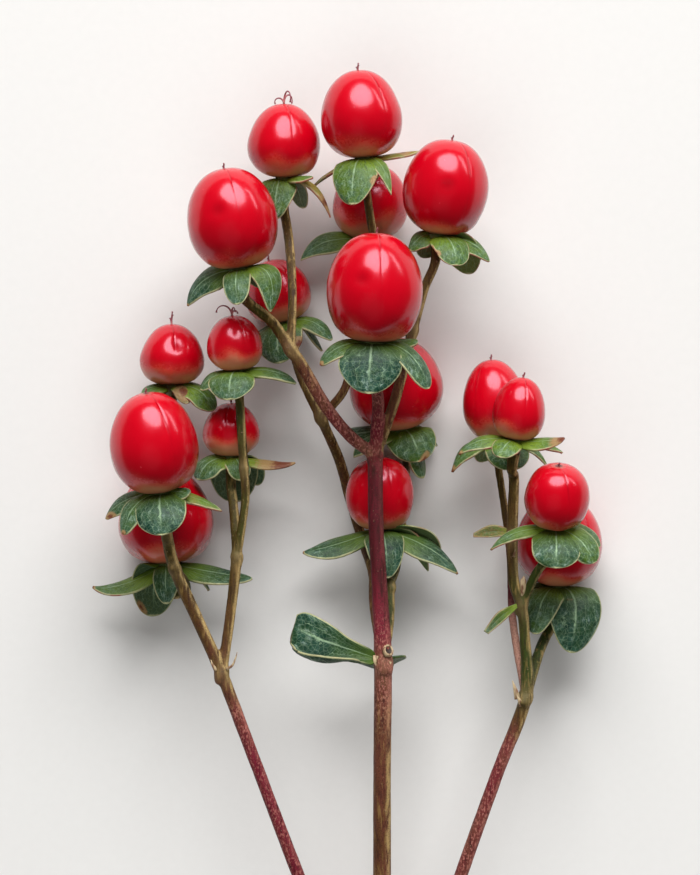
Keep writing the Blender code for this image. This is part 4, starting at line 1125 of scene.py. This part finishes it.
def bark_mesh(look):
    """All the lengths of stem and the swollen nodes, blended into one skin."""
    skin = Skin()
    paths = stem_paths()
    for path, _ in paths:
        tube(skin, path, {})
    for place, radius in SWELLINGS:
        spot = Vector(place)
        nearest = min((point for path, _ in paths for point in path),
                      key=lambda point: (point.xyz - spot).length)
        path = next(path for path, _ in paths if nearest in path)
        ahead = frames(path)[path.index(nearest)][0]
        lump = []
        for i in range(-NODE_STEPS, NODE_STEPS + 1):
            reach = i / NODE_STEPS
            thick = radius * (NODE_END + (NODE_SWELL - NODE_END) * math.cos(reach * math.pi / 2))
            lump.append(Vector((*(spot + ahead * reach * radius * NODE_REACH), thick)))
        tube(skin, lump, {})
    rough = skin.mesh("rough bark", [])
    holder = bpy.data.objects.new("rough bark", rough)
    bpy.context.scene.collection.objects.link(holder)
    remesh = holder.modifiers.new("blend forks", "REMESH")
    remesh.mode = "VOXEL"
    remesh.voxel_size = look.cell
    evaluated = holder.evaluated_get(bpy.context.evaluated_depsgraph_get())
    data = bpy.data.meshes.new_from_object(evaluated)
    bpy.data.objects.remove(holder, do_unlink=True)
    shape = bmesh.new()
    shape.from_mesh(data)
    for _ in range(SMOOTHINGS):
        bmesh.ops.smooth_vert(shape, verts=shape.verts, factor=0.5,
                              use_axis_x=True, use_axis_y=True, use_axis_z=True)
    shape.to_mesh(data)
    shape.free()
    paint_bark(data, paths)
    data.name = "bark"
    return data


def paint_bark(data, paths):
    """Raise the long ribs, and paint tone, ribs, nodes and the cut end by the nearest point of the path."""
    tree = kdtree.KDTree(sum(len(path) for path, _ in paths))
    facts = []
    for path, tones in paths:
        for point, tone, (ahead, side, up) in zip(path, tones, frames(path)):
            tree.insert(point.xyz, len(facts))
            facts.append((point, tone, ahead, side, up))
    tree.balance()
    cut_end, above_cut = (Vector(point[:3]) for point in STEMS[0][0][:2])
    from_cut = (above_cut - cut_end).normalized()
    numbers = {"tone": [], "rib": [], "node": [], "cut": []}
    for vertex in data.vertices:
        place = vertex.co / MM
        near = tree.find_n(place, 3)
        best = min(near, key=lambda found: found[2] / facts[found[1]][0].w)
        point, tone, ahead, side, up = facts[best[1]]
        out = place - point.xyz
        turn = math.atan2(out.dot(up), out.dot(side))
        # The rib number raises the ribs and marks where the bark shader paints their pale colour and
        # highlight.
        rib = (0.5 + 0.5 * math.cos(2 * turn - 1.2)) ** 2
        swollen = max(bell((place - Vector(spot)).length, radius * 1.9) for spot, radius in SWELLINGS)
        cut = 1.0 - soft_step(0.0, 0.25, (place - cut_end).dot(from_cut))
        grain = noise.noise(Vector((place.x * 0.9, place.y * 0.25, place.z * 0.9)))
        lift = (rib - 0.3) * RIB_HEIGHT * point.w + grain * GRAIN_HEIGHT
        away = (out - ahead * out.dot(ahead)).normalized()
        moved = place + away * lift * (1 - cut)
        moved.z = max(moved.z, 0.0)
        vertex.co = moved * MM
        for key, number in (("tone", tone), ("rib", rib), ("node", swollen), ("cut", cut)):
            numbers[key].append(number)
    for key, values in numbers.items():
        data.attributes.new(key, "FLOAT", "POINT").data.foreach_set("value", values)


def add_leaf(name, look):
    """A small leaf over the smooth surface through its rib and margins."""
    rows = []
    for rib, *margins in LEAVES[name]:
        middle = Vector(rib)
        row = [middle + Vector(margins[0]), middle, middle + Vector(margins[1])]
        if len(margins) > 2:
            row.append(middle + Vector(margins[2]))
        rows.append(row)
    lines = [resample(list(line), LEAF_ROWS) for line in zip(*rows)]
    grid = [resample(list(line), LEAF_COLUMNS) for line in zip(*lines)]
    skin = Skin()
    rings = []
    paint = {key: [] for key in BLADE_PAINT}
    ribs = 1 / (len(rows[0]) - 1)
    length = sum((grid[i + 1][5] - grid[i][5]).length for i in range(LEAF_ROWS - 1))
    for i, row in enumerate(grid):
        along = i / (LEAF_ROWS - 1)
        before, after = grid[max(i - 1, 0)], grid[min(i + 1, LEAF_ROWS - 1)]
        breadth = sum((row[k + 1] - row[k]).length for k in range(LEAF_COLUMNS - 1))
        upper, lower = [], []
        for k, point in enumerate(row):
            column = k / (LEAF_COLUMNS - 1)
            across = row[min(k + 1, LEAF_COLUMNS - 1)] - row[max(k - 1, 0)]
            normal = across.cross(after[k] - before[k]).normalized()
            if normal.length == 0:
                normal = UP
            if normal.z < 0:
                normal = -normal
            edge = min(column, 1 - column) * breadth
            edge = min(edge, length * (1 - along))
            thick = look.thickness / MM / 2 * (0.45 + 0.55 * soft_step(0.0, 0.5, edge))
            wave = noise.noise(point * 0.5) * LEAF_SWELL
            share = (column - ribs) / (ribs if column < ribs else 1 - ribs)
            numbers = (along, share, edge, LEAF_TONES[name], LEAF_DRYNESS.get(name, 0.0))
            upper.append((point + normal * (thick + wave), numbers))
            lower.append((point - normal * (thick - wave), numbers))
        rings.append(blade_ring(upper, lower, paint))
    skin.stack(rings, paint)
    return skin


def scar_skin():
    """A raised ring round a dark hole, where a leaf broke off."""
    skin = Skin()
    middle = Vector(SCAR_PLACE)
    out = (middle - Vector(SCAR_INSIDE)).normalized()
    side = out.cross(Vector((0, 1, 0))).normalized()
    up = out.cross(side)
    rings, hollow = [], []
    for reach, height, dark in SCAR_RINGS:
        ring = []
        for k in range(SCAR_SIDES):
            turn = 2 * math.pi * k / SCAR_SIDES
            uneven = 1 + 0.1 * noise.noise(Vector((math.cos(turn) * 2, math.sin(turn) * 2, reach)))
            away = side * math.cos(turn) + up * math.sin(turn) * SCAR_OVAL
            ring.append(middle + away * SCAR_RADIUS * reach * uneven + out * height)
            hollow.append(dark)
        rings.append(ring)
    skin.stack(rings, {"hollow": hollow})
    return skin


class HYPERICUM_OT_berries(bpy.types.Operator):
    """Grow the eighteen berries with their styles"""
    bl_idname = "hypericum.berries"
    bl_label = "Berries"
    bl_options = {"REGISTER", "UNDO"}

    def execute(self, context):
        look = looks(context, "berry")
        materials = [berry_skin(look), style_skin(look)]
        for order, name in enumerate(BERRIES):
            skin = add_berry(name, order, look)
            add_piece("fruit_" + name, skin.mesh("fruit_" + name, materials), "berry_" + name)
        return {"FINISHED"}


class HYPERICUM_OT_calyces(bpy.types.Operator):
    """Grow a cup with five sepals below each berry"""
    bl_idname = "hypericum.calyces"
    bl_label = "Calyces"
    bl_options = {"REGISTER", "UNDO"}

    def execute(self, context):
        look = looks(context, "foliage")
        materials = [blade_skin(look)]
        for name in SEPALS:
            skin = add_calyx(name, look)
            add_piece("sepals_" + name, skin.mesh("sepals_" + name, materials), "calyx_" + name)
        return {"FINISHED"}


class HYPERICUM_OT_bark(bpy.types.Operator):
    """Grow the branched stem as one skin"""
    bl_idname = "hypericum.bark"
    bl_label = "Stem"
    bl_options = {"REGISTER", "UNDO"}

    def execute(self, context):
        look = looks(context, "bark")
        data = bark_mesh(look)
        data.materials.clear()
        data.materials.append(bark_skin(look))
        face_outward(data)
        data.shade_smooth()
        add_piece("bark", data, "branched_stem")
        return {"FINISHED"}


class HYPERICUM_OT_leaves(bpy.types.Operator):
    """Grow the four small leaves"""
    bl_idname = "hypericum.leaves"
    bl_label = "Leaves"
    bl_options = {"REGISTER", "UNDO"}

    def execute(self, context):
        look = looks(context, "foliage")
        materials = [blade_skin(look)]
        for name in LEAVES:
            skin = add_leaf(name, look)
            add_piece("fine_" + name, skin.mesh("fine_" + name, materials), name)
        return {"FINISHED"}


class HYPERICUM_OT_scraps(bpy.types.Operator):
    """Add the dry scales, the bud, the thin shoot and the leaf scar"""
    bl_idname = "hypericum.scraps"
    bl_label = "Scales and scar"
    bl_options = {"REGISTER", "UNDO"}

    def execute(self, context):
        materials = [scrap_skin()]
        for name, points, flat in SCRAPS:
            skin = Skin()
            path = spline(points, SCRAP_STEP)
            tube(skin, path, {"hollow": [0.0] * len(path)}, flat=flat, sides=SCRAP_SIDES)
            add_piece(name, skin.mesh(name, materials))
        add_piece("leaf_scar", scar_skin().mesh("leaf_scar", materials))
        return {"FINISHED"}


class HYPERICUM_OT_studio(bpy.types.Operator):
    """Lay the pale floor, hang the soft lights and set the camera above the stem"""
    bl_idname = "hypericum.studio"
    bl_label = "Floor, lights and camera"
    bl_options = {"REGISTER", "UNDO"}

    def execute(self, context):
        look = looks(context, "studio")
        scene = context.scene
        add_floor(scene, look)
        for name, place, size, power, mirrored in SOFTBOXES:
            add_softbox(scene, name, place, size, getattr(look, power), mirrored)
        room = bpy.data.worlds.new("room")
        room.use_nodes = True
        background = room.node_tree.nodes["Background"]
        background.inputs["Color"].default_value = ROOM_WHITE
        background.inputs["Strength"].default_value = look.sky
        scene.world = room
        scene.view_settings.view_transform = "Standard"
        add_camera(scene, look)
        return {"FINISHED"}


def add_floor(scene, look):
    """A broad pale floor just under the lowest berries."""
    data = bpy.data.meshes.new("floor")
    corners = [(x * FLOOR_REACH, y * FLOOR_REACH, 0) for x, y in ((-1, -1), (1, -1), (1, 1), (-1, 1))]
    data.from_pydata(corners, [], [(0, 1, 2, 3)])
    floor = bpy.data.objects.new("floor", data)
    recipe = Recipe("pale floor")
    grain = recipe.noise(recipe.place(), 0.8, 4.0)
    colour = recipe.mix(look.floor, [channel * 0.96 for channel in look.floor], grain)
    data.materials.append(recipe.finish(Base_Color=colour, Roughness=0.75))
    scene.collection.objects.link(floor)


def add_softbox(scene, name, place, size, power, mirrored):
    """An oval soft light that faces the middle of the stem."""
    lamp = bpy.data.lights.new(name, "AREA")
    lamp.shape = "ELLIPSE"
    lamp.size, lamp.size_y = size
    lamp.energy = power
    holder = bpy.data.objects.new(name, lamp)
    holder.location = place
    holder.visible_glossy = mirrored
    aim = Vector(LIGHTS_AIM) - Vector(place)
    holder.rotation_euler = aim.to_track_quat("-Z", "Y").to_euler()
    scene.collection.objects.link(holder)


def add_camera(scene, look):
    """A camera that looks straight down, with the photograph's narrow view."""
    lens = bpy.data.cameras.new("camera")
    lens.sensor_fit = "VERTICAL"
    lens.sensor_height = SENSOR_HEIGHT
    lens.lens = FOCAL_LENGTH
    lens.clip_start = NEAREST_SEEN
    camera = bpy.data.objects.new("camera", lens)
    camera.location = (*CAMERA_OVER, look.camera_height)
    scene.collection.objects.link(camera)
    scene.camera = camera


class HYPERICUM_PT_panel(bpy.types.Panel):
    """The pieces of the hypericum stem"""
    bl_label = "Hypericum"
    bl_idname = "HYPERICUM_PT_panel"
    bl_space_type = "VIEW_3D"
    bl_region_type = "UI"
    bl_category = "Hypericum"

    def draw(self, context):
        for operator in OPERATORS:
            self.layout.operator(operator.bl_idname)
        for name, group in GROUPS.items():
            box = self.layout.box()
            box.label(text=name.capitalize())
            for key in group.__annotations__:
                box.prop(looks(context, name), key)


GROUPS = {"berry": BerryLook, "foliage": FoliageLook, "bark": BarkLook, "studio": StudioLook}
OPERATORS = (HYPERICUM_OT_bark, HYPERICUM_OT_berries, HYPERICUM_OT_calyces, HYPERICUM_OT_leaves,
             HYPERICUM_OT_scraps, HYPERICUM_OT_studio)


def register():
    """Register the groups, the operators and the panel."""
    for name, group in GROUPS.items():
        bpy.utils.register_class(group)
        setattr(bpy.types.Scene, "hypericum_" + name, bpy.props.PointerProperty(type=group))
    for operator in OPERATORS:
        bpy.utils.register_class(operator)
    bpy.utils.register_class(HYPERICUM_PT_panel)


def unregister():
    """Take everything back out."""
    bpy.utils.unregister_class(HYPERICUM_PT_panel)
    for operator in reversed(OPERATORS):
        bpy.utils.unregister_class(operator)
    for name, group in GROUPS.items():
        delattr(bpy.types.Scene, "hypericum_" + name)
        bpy.utils.unregister_class(group)


def main():
    """Build every piece in order."""
    register()
    bpy.ops.hypericum.bark()
    bpy.ops.hypericum.berries()
    bpy.ops.hypericum.calyces()
    bpy.ops.hypericum.leaves()
    bpy.ops.hypericum.scraps()
    bpy.ops.hypericum.studio()


if __name__ == "__main__":
    main()
